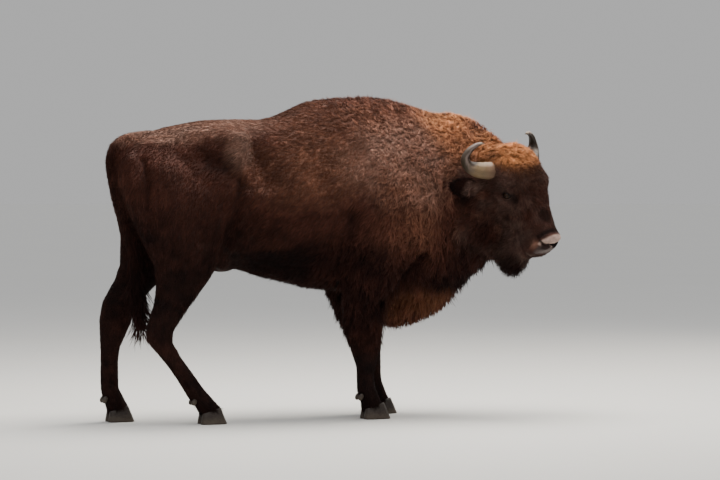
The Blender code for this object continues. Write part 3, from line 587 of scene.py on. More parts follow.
# ---------------- the lie of the coat
@dataclass(frozen=True)
class Lie:
    """The direction in which the hair lies at one place."""

    place: Place  # in shares of a node's box, or in the head's frame
    way: Place
    reach: float = 0.18

    def guides(self, node: str) -> list[tuple[Array, Array, float]]:
        """The guide on this side and on the other.

        Args:
            node: the node whose box the place is in.

        Returns:
            Two rows of place, direction and reach.
        """
        place, way = np.array(self.place), np.array(self.way, float)
        if node:
            here = within(node, self.place)
            there = here.copy()
            there[1] = 2 * MIDLINE - here[1]
            back = way * (1, -1, 1)
            return [(here, unit(way), self.reach), (there, unit(back), self.reach)]
        pairs = []
        for side in SIDES.values():
            turn = np.array((1, side, 1))
            pairs.append((HEAD.world(place * turn), unit(HEAD.turn(way * turn)), self.reach))
        return pairs


BODY_LIES = {
    "hindquarters": [
        Lie((0.3, 0.5, 1.0), (-1, 0, -0.25)),
        Lie((0.9, 0.5, 1.0), (-1, 0, -0.05)),
        Lie((0.1, 0.1, 0.8), (-0.3, 0, -1)),
        Lie((0.4, 0.0, 0.6), (-0.50, 0, -0.9)),
        Lie((0.9, 0.0, 0.5), (-0.60, 0, -0.7)),
        Lie((0.6, 0.0, 0.2), (-0.15, 0, -1)),
        Lie((0.1, 0.2, 0.2), (0.10, 0, -1)),
    ],
    "barrel": [
        Lie((0.3, 0.5, 1.0), (-1, 0, -0.10)),
        Lie((0.8, 0.5, 1.0), (-1, 0, -0.15)),
        Lie((0.2, 0.0, 0.6), (-0.85, 0, -0.45)),
        Lie((0.8, 0.0, 0.6), (-0.80, 0, -0.60)),
        Lie((0.5, 0.1, 0.1), (-0.70, 0, -0.60)),
    ],
    "forequarters": [
        Lie((0.2, 0.5, 1.0), (-1, 0, 0.0)),
        Lie((0.8, 0.5, 1.0), (-1, 0, 0.3)),
        Lie((0.2, 0.0, 0.7), (-0.75, 0, -0.70)),
        Lie((0.8, 0.0, 0.7), (-0.60, 0, -0.80)),
        Lie((0.4, 0.0, 0.3), (-0.45, 0, -0.90)),
        Lie((0.9, 0.0, 0.2), (-0.15, 0, -1)),
    ],
    "neck": [
        Lie((0.4, 0.5, 1.0), (-0.9, 0, 0.2)),
        Lie((0.5, 0.1, 0.8), (-0.6, 0, -0.7)),
        Lie((0.7, 0.1, 0.4), (-0.15, 0, -1)),
        Lie((0.5, 0.1, 0.1), (-0.10, 0, -1)),
    ],
    "dewlap": [Lie((0.6, 0.2, 0.5), (-0.10, 0, -1))],
    "fore_right_forearm": [Lie((0.4, 0.5, 0.5), (-0.1, 0, -1))],
    "fore_right_foot": [Lie((0.4, 0.5, 0.5), (0.0, 0, -1))],
    "hind_right_shank": [Lie((0.5, 0.5, 0.5), (-0.3, 0, -1))],
    "hind_right_foot": [Lie((0.3, 0.5, 0.6), (0.5, 0, -0.8))],
    "hind_left_foot": [Lie((0.4, 0.5, 0.6), (0.0, 0, -1))],
}
HEAD_LIES = {
    HEAD_FRAME: [
        Lie((-0.220, 0.000, 0.120), (0.7, 0, 0.6), 0.06),
        Lie((-0.140, 0.000, 0.160), (1, 0, 0.0), 0.06),
        Lie((-0.150, 0.080, 0.140), (0.8, 0.6, 0.0), 0.06),
        Lie((-0.040, 0.000, 0.140), (1, 0, -0.3), 0.06),
        Lie((0.000, 0.110, 0.110), (0.0, 1.0, -0.3), 0.04),
        Lie((0.120, 0.000, 0.080), (1, 0, -0.25), 0.08),
        Lie((0.110, 0.100, 0.010), (0.9, 0, -0.6), 0.06),
        Lie((0.220, 0.080, -0.030), (0.8, 0, -0.7), 0.05),
        Lie((0.020, 0.140, 0.000), (0.1, 0, -1), 0.04),
        Lie((-0.050, 0.160, 0.030), (-0.7, 0, -0.6), 0.06),
        Lie((-0.050, 0.150, -0.080), (-0.25, 0, -1), 0.07),
        Lie((-0.180, 0.140, -0.060), (-0.5, 0, -0.9), 0.07),
        Lie((0.100, 0.080, -0.120), (-0.1, 0, -1), 0.06),
        Lie((0.050, 0.000, -0.190), (-0.5, 0, -0.9), 0.08),
        Lie((0.240, 0.000, -0.150), (-0.6, 0, -0.8), 0.05),
    ],
}


def lie_field(points: Array, lies: dict[str, list[Lie]]) -> Array:
    """The direction of the hair at each point, from the guides near it.

    Args:
        points: where it is asked for.
        lies: the guides of each node.

    Returns:
        One direction for each point.
    """
    total = np.zeros_like(points)
    for node, group in lies.items():
        for lie in group:
            for place, way, reach in lie.guides(node):
                near = np.exp(-((points - place) ** 2).sum(1) / (2 * reach**2)) + 1e-9
                total += near[:, None] * way
    return unit(total)


# ---------------- a mesh as arrays
class Surface:
    """A mesh's vertices and how they join, as arrays."""

    def __init__(self, mesh: Mesh) -> None:
        """Reads the arrays.

        Args:
            mesh: the mesh.
        """
        count = len(mesh.vertices)
        self.points = np.zeros(count * 3)
        mesh.vertices.foreach_get("co", self.points)
        self.points = self.points.reshape(-1, 3)
        edges = np.zeros(len(mesh.edges) * 2, np.int32)
        mesh.edges.foreach_get("vertices", edges)
        edges = edges.reshape(-1, 2)
        ends = np.concatenate((edges, edges[:, ::-1]))
        ends = ends[np.argsort(ends[:, 0], kind="stable")]
        self.near = ends[:, 1]
        self.degree = np.bincount(ends[:, 0], minlength=count)
        self.starts = np.concatenate(([0], np.cumsum(self.degree)[:-1]))
        mesh.calc_loop_triangles()
        triangles = np.zeros(len(mesh.loop_triangles) * 3, np.int32)
        mesh.loop_triangles.foreach_get("vertices", triangles)
        self.triangles = triangles.reshape(-1, 3)

    def mean_of_neighbours(self, values: Array) -> Array:
        """For each vertex, the mean of the values at the vertices joined to it."""
        sums = np.add.reduceat(values[self.near], self.starts, axis=0)
        return sums / (self.degree[:, None] if values.ndim > 1 else self.degree)

    def spread(self, values: Array, rounds: int) -> Array:
        """Evens values out over the surface.

        Args:
            values: one row for each vertex.
            rounds: how many times each is drawn towards its neighbours.

        Returns:
            The new values.
        """
        for _ in range(rounds):
            values = 0.5 * values + 0.5 * self.mean_of_neighbours(values)
        return values

    def ease(self, rounds: int, strength: Array) -> None:
        """Smooths the surface without shrinking it.

        Args:
            rounds: how many times.
            strength: how strongly at each vertex, from 0 to 1.
        """
        strength = strength[:, None]
        for _ in range(rounds):
            for push in (0.50, -0.51):
                shift = self.mean_of_neighbours(self.points) - self.points
                self.points += push * strength * shift

    def normals(self) -> Array:
        """The outward normals.

        Returns:
            One direction of length one for each vertex.
        """
        a, b, c = (self.points[self.triangles[:, i]] for i in range(3))
        face = np.cross(b - a, c - a)
        total = np.zeros_like(self.points)
        for axis in range(3):
            for corner in range(3):
                total[:, axis] += np.bincount(self.triangles[:, corner], face[:, axis],
                                              len(self.points))
        return unit(total)

    def tree(self) -> BVHTree:
        """A search tree of the surface's triangles."""
        return BVHTree.FromPolygons(self.points.tolist(), self.triangles.tolist())


# ---------------- the skin
@dataclass
class Skin:
    """The one skin of the whole animal, under its coat."""

    voxel: float = 0.009
    swell: float = 0.002  # of each node before they are fused, to close the thin cuts
    ear_swell: float = 0.005  # an ear is thin for the cells
    plug: float = 0.047  # radius of the filling in a horn's seat
    fine_eye: float = 0.050  # how far round an eye the cells are small
    finest_eye: float = 0.034  # and smallest
    finest_nostril: float = 0.030
    blend_rounds: int = 60  # that even the coat out from one node to the next
    hem_length: float = 0.026  # of the hair that hangs over a hoof
    hem_from: float = 0.125  # the height where it starts to lengthen
    hem_full: float = 0.085  # and where it is longest
    mesh: Mesh | None = None
    surface: Surface | None = None
    styles: Array | None = None
    tones: Array | None = None
    flow: Array | None = None
    labels: Array | None = None  # the number in FLESH of each vertex's node

    def fuse(self) -> None:
        """Joins the nodes of flesh into one closed mesh of even cells."""
        form = bmesh.new()
        for node in FLESH + ["eye_left", "eye_right"]:
            part = welded(node)
            part.normal_update()
            swell = self.ear_swell if node.startswith("ear") else self.swell
            for vertex in part.verts:
                vertex.co += vertex.normal * swell
            swollen = mesh_from_form(node, part)
            form.from_mesh(swollen)
            bpy.data.meshes.remove(swollen)
        for side in SIDES.values():
            for bead in curve_through(Horns.beads, 9)[:2]:
                place = HEAD.world(bead[:3] * (1, side, 1))
                bmesh.ops.create_icosphere(form, subdivisions=3, radius=self.plug,
                                           matrix=Matrix.Translation(place.tolist()))
        self.mesh = modified(mesh_from_form("rough", form), "REMESH", mode="VOXEL",
                             voxel_size=self.voxel)

    def refine(self) -> None:
        """Keeps the largest piece, and splits the cells of the head's fine features."""
        form = bmesh.new()
        form.from_mesh(self.mesh)
        seen, largest = set(), []
        for start in form.verts:
            if start in seen:
                continue
            group, edge = [start], [start]
            seen.add(start)
            while edge:
                for joint in edge.pop().link_edges:
                    for vertex in joint.verts:
                        if vertex not in seen:
                            seen.add(vertex)
                            group.append(vertex)
                            edge.append(vertex)
            largest = max(largest, group, key=len)
        keep = set(largest)
        bmesh.ops.delete(form, geom=[v for v in form.verts if v not in keep], context="VERTS")
        for level in (1, 2, 3):
            points = np.array([v.co for v in form.verts])
            wanted = self.fineness(HEAD.local(points)) >= level
            chosen = [edge for edge in form.edges if all(wanted[v.index] for v in edge.verts)]
            bmesh.ops.subdivide_edges(form, edges=chosen, cuts=1, use_grid_fill=True)
            form.verts.index_update()
        form.to_mesh(self.mesh)
        form.free()

    def fineness(self, local: Array) -> Array:
        """How many times the cells are halved.

        Args:
            local: places in the head's frame.

        Returns:
            A number from 0 to 3 for each.
        """
        along, out, up = local.T
        beside = np.abs(out)
        right = np.stack((along, beside, up), 1)
        eye = np.linalg.norm(right - Eyes.place, axis=1)
        nostril = np.linalg.norm(right - Face.nostril, axis=1)
        head = (along > -0.10) & (along < 0.36) & (beside < 0.20) & (np.abs(up) < 0.16)
        head |= (along > -0.26) & (along < -0.08) & (beside > 0.15) & (np.abs(up) < 0.20)
        lips = (along > 0.20) & (up > -0.125) & head
        fine = (eye < self.fine_eye) | lips
        finest = (eye < self.finest_eye) | (nostril < self.finest_nostril)
        return head.astype(int) + fine + finest

    def name_places(self) -> None:
        """Finds the CAD node that each vertex of the skin belongs to."""
        points, triangles, owners = [], [], []
        for index, node in enumerate(FLESH):
            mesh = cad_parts[node].data
            mesh.calc_loop_triangles()
            first = len(points)
            points += [v.co.copy() for v in mesh.vertices]
            triangles += [[first + v for v in t.vertices] for t in mesh.loop_triangles]
            owners += [index] * len(mesh.loop_triangles)
        tree = BVHTree.FromPolygons(points, triangles)
        self.labels = np.array([owners[tree.find_nearest(p)[2]]
                                for p in self.surface.points.tolist()])

    def lay_fields(self) -> None:
        """Sets the coat's style, its colours and its lie at each vertex."""
        styles = np.array([astuple(PELT_OF[pair(n)].value) for n in FLESH])[self.labels]
        tones = np.array([astuple(TONE_OF.get(pair(n), Tone())) for n in FLESH])[self.labels]
        share = np.array([node in Face.nodes for node in FLESH], float)[self.labels]
        plain = np.column_stack((styles, tones, share))
        both = self.surface.spread(plain, self.blend_rounds)
        crisp = np.isin(self.labels, [FLESH.index(n) for n in ("nose", "ear_left", "ear_right")])
        both[crisp] = plain[crisp]
        both = self.surface.spread(both, 2)
        count = styles.shape[1]
        self.styles, self.tones, share = both[:, :count], both[:, count:-1], both[:, -1]
        share = ramp(0.25, 0.75, share)[:, None]
        for node, group in ACCENTS.items():
            for accent in group:
                held = (accent.weights(node, self.surface.points) * ~crisp)[:, None]
                held = held * (1 - share) if node else held
                if accent.style:
                    self.styles += held * (np.array(astuple(accent.style.value)) - self.styles)
                self.tones += held * (np.array(astuple(accent.tone)) - self.tones)
        hem = ramp(self.hem_from, self.hem_full, self.surface.points[:, 2])
        length = self.styles[:, LENGTH]
        length += hem * np.maximum(self.hem_length - length, 0)
        flow = (1 - share) * lie_field(self.surface.points, BODY_LIES)
        flow += share * lie_field(self.surface.points, HEAD_LIES)
        for node, way in {**Face.ear_ways(), **Tail.ways()}.items():
            flow[self.labels == FLESH.index(node)] = way
        self.flow = self.surface.spread(flow, 12)

    def draw_in(self) -> None:
        """Brings the skin in from the tips of the coat to its roots."""
        normals = self.surface.normals()
        tree = self.surface.tree()
        depth = self.styles[:, DEPTH].copy()
        rays = zip(self.surface.points.tolist(), normals.tolist(), depth.tolist())
        for index, (point, normal, wish) in enumerate(rays):
            inward = -Vector(normal)
            hit = tree.ray_cast(Vector(point) + inward * 0.001, inward, wish * 4)
            if hit[3] is not None:
                depth[index] = min(wish, hit[3] * 0.28)
        depth = self.surface.spread(depth, 6)
        self.surface.points -= normals * depth[:, None]

    def build(self) -> None:
        """Makes the skin's shape, and the coat's style, colours and lie over it."""
        self.fuse()
        self.refine()
        self.surface = Surface(self.mesh)
        self.name_places()
        self.lay_fields()
        crisp = [node in Face.nodes or node.startswith("ear") or node.endswith("foot")
                 for node in FLESH]
        softness = np.where(crisp, 0.5, 1.0)[self.labels]
        self.surface.ease(45, self.surface.spread(softness, 6))
        self.draw_in()
        normals = self.surface.normals()
        for node, reliefs in RELIEFS.items():
            for relief in reliefs:
                relief.shape(node, self.surface, normals, self.tones)
        self.surface.ease(6, np.full(len(self.labels), 0.8))
        self.tones = Face().sculpt(self.surface, self.tones, self.styles)
        reshape(self.mesh, self.surface.points)

    def dress(self, finish: Material) -> None:
        """Puts the skin in the scene with its markings."""
        mark(self.mesh, self.surface.points, np.zeros(len(self.labels)),
             np.full(len(self.labels), 0.5), self.tones)
        show("skin", self.mesh, finish, FLESH)


def mark(mesh: Mesh, roots: Array, along: Array, tint: Array, tones: Array) -> None:
    """Stores what the markings' colours are worked out from.

    Args:
        mesh: a skin or coat mesh.
        roots: where on the skin each vertex grows from.
        along: 0 at a lock's root and 1 at its tip.
        tint: how light its lock is, from 0 to 1.
        tones: the shares of the markings' colours.
    """
    store(mesh, "root", roots)
    store(mesh, "along", along)
    store(mesh, "tint", tint)
    store(mesh, "tones", tones[:, :PALE])
    store(mesh, "marks", tones[:, PALE:])


# ---------------- the face
class HalfHead(NamedTuple):
    """The skin as one side of the head sees it."""

    part: Array  # its vertices in the head's frame, mirrored for the left side, which move
    face: Array  # which of them are the head's
    tones: Array  # its table of tones, which changes
    styles: Array  # its table of styles, which changes


@dataclass
class Face:
    """The sculpted features of the head: lids, nostrils, lips, folds and ears."""

    nodes: ClassVar[list[str]] = ["head", "muzzle", "nose", "beard"]
    nostril: ClassVar[Array] = np.array((0.316, 0.044, -0.001))
    nostril_gaze: ClassVar[Array] = np.array((0.74, 0.66, 0.08))
    nostril_run: ClassVar[Array] = np.array((-0.642, 0.757, -0.120))
    nostril_length: float = 0.040  # half of it
    nostril_depth: float = 0.030
    side_patch: ClassVar[Array] = np.array((0.279, 0.082, -0.030))
    side_reach: ClassVar[Place] = (0.022, 0.026, 0.022)
    ear_root: ClassVar[Array] = np.array((-0.107, 0.120, -0.096))
    ear_tips: ClassVar[dict[int, Array]] = {
        1: np.array((-0.166, 0.345, -0.067)), -1: np.array((-0.232, 0.312, -0.128))}
    ear_face: ClassVar[Array] = np.array((0.75, 0.35, 0.55))  # the way its hollow looks
    ear_places: ClassVar[tuple[float, ...]] = (0.0, 0.2, 0.5, 0.7, 0.9, 1.0)
    ear_half_widths: ClassVar[tuple[float, ...]] = (0.020, 0.030, 0.042, 0.042, 0.026, 0.01)
    ear_dent: float = 0.012
    ear_fringe: float = 0.026
    mouth: ClassVar[list[Place]] = [
        (0.330, 0.000, -0.092), (0.300, 0.060, -0.092), (0.255, 0.084, -0.088),
        (0.205, 0.094, -0.078), (0.175, 0.100, -0.066)]
    swellings: ClassVar[list[tuple[Place, Place, Place]]] = [  # place, reach and push
        ((-0.004, 0.136, 0.074), (0.056, 0.030, 0.018), (0.002, 0.009, 0.002)),
        ((0.048, 0.115, 0.042), (0.024, 0.034, 0.024), (0, -0.027, -0.008)),
        ((0.004, 0.140, -0.006), (0.040, 0.030, 0.012), (0, -0.007, 0)),
        ((0.067, 0.110, 0.014), (0.030, 0.040, 0.018), (0, -0.006, -0.002)),
        ((0.026, 0.150, -0.014), (0.070, 0.040, 0.016), (0, 0.006, 0)),
        ((0.060, 0.130, -0.040), (0.060, 0.050, 0.030), (0, -0.007, 0)),
        ((-0.050, 0.150, -0.080), (0.070, 0.060, 0.060), (0, 0.008, 0)),
        ((0.160, 0.085, 0.000), (0.060, 0.050, 0.030), (0, -0.007, 0)),
        ((0.230, 0.075, 0.010), (0.040, 0.040, 0.030), (0, 0.004, 0.002)),
        ((0.120, 0.100, -0.070), (0.050, 0.050, 0.035), (0, -0.006, 0)),
    ]

    @classmethod
    def ear_ways(cls) -> dict[str, Array]:
        """The lie of the hair on each ear: from its root to its tip."""
        return {f"ear_{name}": HEAD.turn(unit((cls.ear_tips[side] - cls.ear_root) * (1, side, 1)))
                for name, side in SIDES.items()}

    def sculpt(self, surface: Surface, tones: Array, styles: Array) -> Array:
        """Shapes the face's features into the skin.

        Args:
            surface: the skin.
            tones: its colours, which the features change.
            styles: its coat, which the features thin.

        Returns:
            The changed colours.
        """
        tones = tones.copy()
        local = HEAD.local(surface.points)
        face = (np.abs(local[:, 0]) < 0.36) & (np.abs(local[:, 1]) < 0.36)
        face &= np.abs(local[:, 2]) < 0.26
        for side in SIDES.values():
            mirror = np.array((1, side, 1))
            half = HalfHead(local * mirror, face, tones, styles)
            self.bones(half)
            self.lips(half)
            self.mark_muzzle(half, self.open_nostril(half))
            Eyes().open_lids(half)
            self.ear(half, self.ear_tips[side])
            local = half.part * mirror
        surface.points = HEAD.world(local)
        return tones

    def bones(self, half: HalfHead) -> None:
        """Brow, cheekbone, jaw muscle and the hollows between them.

        Args:
            half: the side of the head.
        """
        part, face, _, _ = half
        for place, reach, push in self.swellings:
            far = np.linalg.norm((part - place) / reach, axis=1)
            held = (face & (part[:, 1] > 0)) * hill(far, 0.0, 1.0)
            part += held[:, None] * push

    def lips(self, half: HalfHead) -> None:
        """The line of the mouth, with a fuller lip above and below.

        Args:
            half: the side of the head.
        """
        part, face, tones, styles = half
        line = curve_through(self.mouth, 40)
        near = face & (part[:, 0] > 0.13) & (part[:, 1] > -0.004)
        index = np.flatnonzero(near)
        spot = part[index]
        gaps = spot[:, None, (0, 2)] - line[None][:, :, (0, 2)]
        distance = np.linalg.norm(gaps, axis=2)
        closest = distance.argmin(1)
        above = spot[:, 2] - line[closest, 2]
        reach = distance.min(1)
        end = ramp(0.165, 0.190, spot[:, 0])
        outward = unit(spot - np.array((0.200, 0.0, -0.080)))
        groove = -0.007 * hill(reach, 0.0, 0.0035) * end
        upper = 0.004 * hill(above, 0.013, 0.009) * end
        lower = 0.003 * hill(above, -0.012, 0.008) * end
        part[index] += outward * (groove + upper + lower)[:, None]
        rim = hill(reach, 0.0, 0.009) * end
        rim = rim * ramp(0.280, 0.305, spot[:, 0]) * (above > -0.002)
        at_least(tones, PALE, rim * 0.30, index)
        inside = hill(reach, 0.0, 0.003) * end
        at_least(tones, DARK, inside, index)
        styles[index, DENSITY] *= 1 - 0.9 * inside

    def open_nostril(self, half: HalfHead) -> Array:
        """Sinks the nostril, a comma that is wider at its inner end, and swells its rim.

        Args:
            half: the side of the head.

        Returns:
            How far each vertex is inside, from 0 to 1.
        """
        part, face, _, _ = half
        gaze, wide = unit(self.nostril_gaze), unit(self.nostril_run)
        wide = unit(wide - gaze * (wide @ gaze))
        tall = np.cross(gaze, wide)
        tall = tall if tall[2] > 0 else -tall
        away = part - self.nostril
        x, y = away @ wide, away @ tall
        y = y - 4.5 * (x + 0.010) ** 2 + 0.002
        ends = (-self.nostril_length, 0.0, self.nostril_length)
        breadth = np.interp(x, ends, (0.0190, 0.0165, 0.0100))
        breadth = breadth * np.where(y < 0, 1.55, 1.05)
        shape = np.hypot(x / self.nostril_length, y / breadth)
        here = face & (part[:, 0] > 0.2) & (part[:, 1] > -0.002)
        hole = here & (shape < 2.4) & (np.abs(away @ gaze) < 0.035)
        sunk = (1 - ramp(0.70, 1.05, shape)) * self.nostril_depth
        swollen = hill(shape, 1.50, 0.40) * np.where(y > 0, 0.0045, 0.0)
        part[hole] += gaze * (swollen - sunk)[hole][:, None]
        return hole * (1 - ramp(1.0, 1.4, shape))

    def mark_muzzle(self, half: HalfHead, inside: Array) -> None:
        """Colours the bare nose pad, and the pale and dark hair round it, with a painted highlight
        of the wet pad in the pale above the nostril.

        Args:
            half: the side of the head.
            inside: how far each vertex is inside the nostril.
        """
        part, face, tones, styles = half
        along, out, up = part.T
        ring = face & (along > 0.20)
        pad = ramp(0.294, 0.310, along + 0.10 * (up + 0.03))
        pad = pad * ramp(-0.078, -0.066, up) * ring
        tones[:, BARE] = np.where(ring, pad, tones[:, BARE])
        # the wing above the nostril: pale hair, and a painted highlight on the wet pad
        wing = ring * ramp(0.284, 0.298, along) * ramp(-0.020, -0.006, up)
        wing = wing * ramp(0.064, 0.046, up) * ramp(0.074, 0.060, out)
        top = ring * hill(along, 0.262, 0.020) * ramp(0.085, 0.060, out) * (up > 0)
        far = np.linalg.norm((part - self.side_patch) / self.side_reach, axis=1)
        side = hill(far, 0.0, 1.0)
        lip = ring * ramp(0.300, 0.318, along) * ramp(-0.026, -0.036, up)
        lip = lip * ramp(-0.070, -0.054, up)
        chin = ramp(0.260, 0.290, along) * ramp(-0.098, -0.108, up) * ramp(-0.150, -0.125, up)
        light = np.maximum(np.maximum(wing, lip * 0.08), chin * ring * 0.06)
        at_least(tones, TAN, side)
        at_least(tones, WEAR_AND_PAINTED_LIGHT, side * 0.30)
        at_least(tones, PALE, light)
        at_least(tones, DARK, top)
        tones[:, WEAR_AND_PAINTED_LIGHT] *= 1 - top
        tones[:, DARK] *= 1 - 0.85 * np.maximum(np.maximum(light, pad), side)
        at_least(tones, DARK, inside)
        tones[:, PALE] *= 1 - inside
        tones[:, BARE] *= 1 - inside
        styles[:, DENSITY] *= 1 - np.maximum(pad, inside)

    def ear(self, half: HalfHead, tip: Array) -> None:
        """Hollows the ear on the side it listens with.

        Args:
            half: the side of the head.
            tip: the ear's tip.
        """
        part, face, tones, styles = half
        near = face & (part[:, 1] > 0.12)
        run = tip - self.ear_root
        length = np.linalg.norm(run)
        run = run / length
        front = unit(self.ear_face - run * (self.ear_face @ run))
        width = np.cross(run, front)
        away = part - self.ear_root
        t, across = away @ run / length, away @ width
        breadth = np.interp(t, self.ear_places, self.ear_half_widths)
        share = np.clip(np.abs(across) / breadth, 0, 1)
        height = away @ front
        dent = near & (t > 0.08) & (t < 0.97) & (height > -0.002)
        dent = dent * (1 - share**2) * ramp(0.08, 0.30, t) * (1 - ramp(0.80, 0.97, t))
        part -= front * (dent * self.ear_dent)[:, None]
        stem = near & (t > -0.1) & (t < 1.1) & (np.abs(height) < 0.04) & (share < 1)
        stem = stem * ramp(0.62, 0.48, t)
        at_least(tones, WEAR_AND_PAINTED_LIGHT, stem * 0.45)
        tones[:, DARK] *= 1 - 0.6 * stem
        edge = near & (t > 0.15) & (t < 1.1) & (share > 0.6) & (np.abs(height) < 0.03)
        styles[:, LENGTH] = np.where(edge, self.ear_fringe, styles[:, LENGTH])


@dataclass
class Eyes:
    """The two eyeballs, and the lids that the skin forms over them."""

    radius: float = 0.0205
    lid: float = 0.0232  # radius of the lids' outer face
    place: ClassVar[Array] = np.array((0.012, 0.133, 0.034))
    gaze: ClassVar[Array] = np.array((0.30, 0.93, 0.10))
    inner_corner: ClassVar[Array] = np.array((0.82, -0.25, 0.57))
    half_width: float = 0.0265  # of the slit between the lids
    rise: float = 0.0170  # of the slit's edge over its middle
    fall: float = 0.0128
    sharpness: float = 260.0  # of the fold where a lid meets the brow
    sunk: float = 0.019  # of the skin behind the eyeball

    def axes(self) -> tuple[Array, Array, Array]:
        """The eye's own axes on the right side.

        Returns:
            Out of the eye, towards its inner corner, and up.
        """
        gaze = unit(self.gaze)
        inward = unit(self.inner_corner - gaze * (self.inner_corner @ gaze))
        upward = np.cross(gaze, inward)
        upward = upward if upward[2] > 0 else -upward
        return gaze, inward, upward

    def open_lids(self, half: HalfHead) -> None:
        """Swells the lids over the eyeball and opens the slit between them, with painted shade
        round the eye and painted highlights on the folds of the lids.

        Args:
            half: the side of the head.
        """
        part, face, tones, styles = half
        near = face & (part[:, 1] > 0)
        gaze, inward, upward = self.axes()
        away = part - self.place
        height, x, y = away @ gaze, away @ inward, away @ upward
        rho = np.hypot(x, y)
        zone = near & (rho < 0.06) & (height > -0.012)
        height = height + hill(rho, 0.030, 0.012) * np.where(y > 0, 0.007, 0.002)
        dome = np.sqrt(np.maximum(self.lid**2 - rho**2, 0))
        blended = np.exp(self.sharpness * height) + np.exp(self.sharpness * dome)
        blended = np.log(blended) / self.sharpness
        height = height + (blended - height) * (1 - ramp(0.024, 0.040, rho))
        edge = np.where(y > 0, self.rise, self.fall)
        slit = edge * np.maximum(1 - (x / self.half_width) ** 2, 0) ** 0.75 + 0.0004
        share = np.where(np.abs(x) < self.half_width, np.abs(y) / slit,
                         1 + (np.abs(x) - self.half_width) / 0.004 + np.abs(y) / 0.004)
        crease = hill(share, 1.75, 0.18) * (y > 0) * -0.0026
        crease = crease + hill(share, 2.0, 0.20) * (y < 0) * -0.0022
        fold = hill(rho, 0.036, 0.0035) * (y < 0) * -0.0025
        height = height + crease * (rho < 0.034) + fold
        behind = self.lid - self.sunk * ramp(1.0, 0.80, share) - 0.0025
        height = np.where(share < 1, np.minimum(height, behind), height)
        moved = self.place + height[:, None] * gaze + x[:, None] * inward + y[:, None] * upward
        part[zone] = moved[zone]
        rim = zone * np.exp(-np.maximum(share - 1, 0) / 0.35) * (rho < 0.03)
        at_least(tones, DARK, rim)
        # painted highlights along the fold of the lower lid and the fold under the brow
        ridge = zone * (rho < 0.045) * (hill(share, 1.45, 0.22) * (y < 0)
                                        + hill(share, 2.45, 0.30) * (y > 0))
        # painted shade over the socket round the eye, under the brow
        socket = zone * hill(rho, 0.0, 0.036) * (1 - 0.6 * ridge)
        hollow = near * np.exp(-(((x - 0.012) / 0.066) ** 2) - ((y - 0.004) / 0.026) ** 2)
        socket = np.maximum(socket, hollow * (1 - 0.8 * ridge))
        tones[:, WEAR_AND_PAINTED_LIGHT] = np.maximum(tones[:, WEAR_AND_PAINTED_LIGHT] * (1 - socket), ridge * 0.26)
        at_least(tones, DARK, socket)
        tones[:, :DARK] *= 1 - socket[:, None]
        styles[:, DENSITY] *= 1 - rim
        styles[:, LENGTH] *= 1 - 0.75 * ramp(0.062, 0.040, rho) * near

    def build(self, finish: Material) -> None:
        """Makes both eyeballs, each with a bulging cornea.

        Args:
            finish: their material.
        """
        gaze, inward, upward = self.axes()
        for name, side in SIDES.items():
            mirror = np.array((1, side, 1))
            centre = HEAD.world(self.place * mirror)
            basis = np.array([HEAD.turn(axis * mirror) for axis in (inward, upward, gaze)])
            form = bmesh.new()
            bmesh.ops.create_uvsphere(form, u_segments=64, v_segments=48, radius=1.0)
            mesh = mesh_from_form(f"{name}_eyeball", form)
            local = np.array([v.co for v in mesh.vertices])
            off_axis = np.hypot(local[:, 0], local[:, 1])
            bulge = 1 + 0.07 * (1 - ramp(0.30, 0.62, off_axis)) * (local[:, 2] > 0)
            if np.linalg.det(basis) < 0:
                mesh.flip_normals()
            reshape(mesh, centre + (local * bulge[:, None] * self.radius) @ basis)
            store(mesh, "gaze", local)
            show(f"{name}_eyeball", mesh, finish, [f"eye_{name}"])


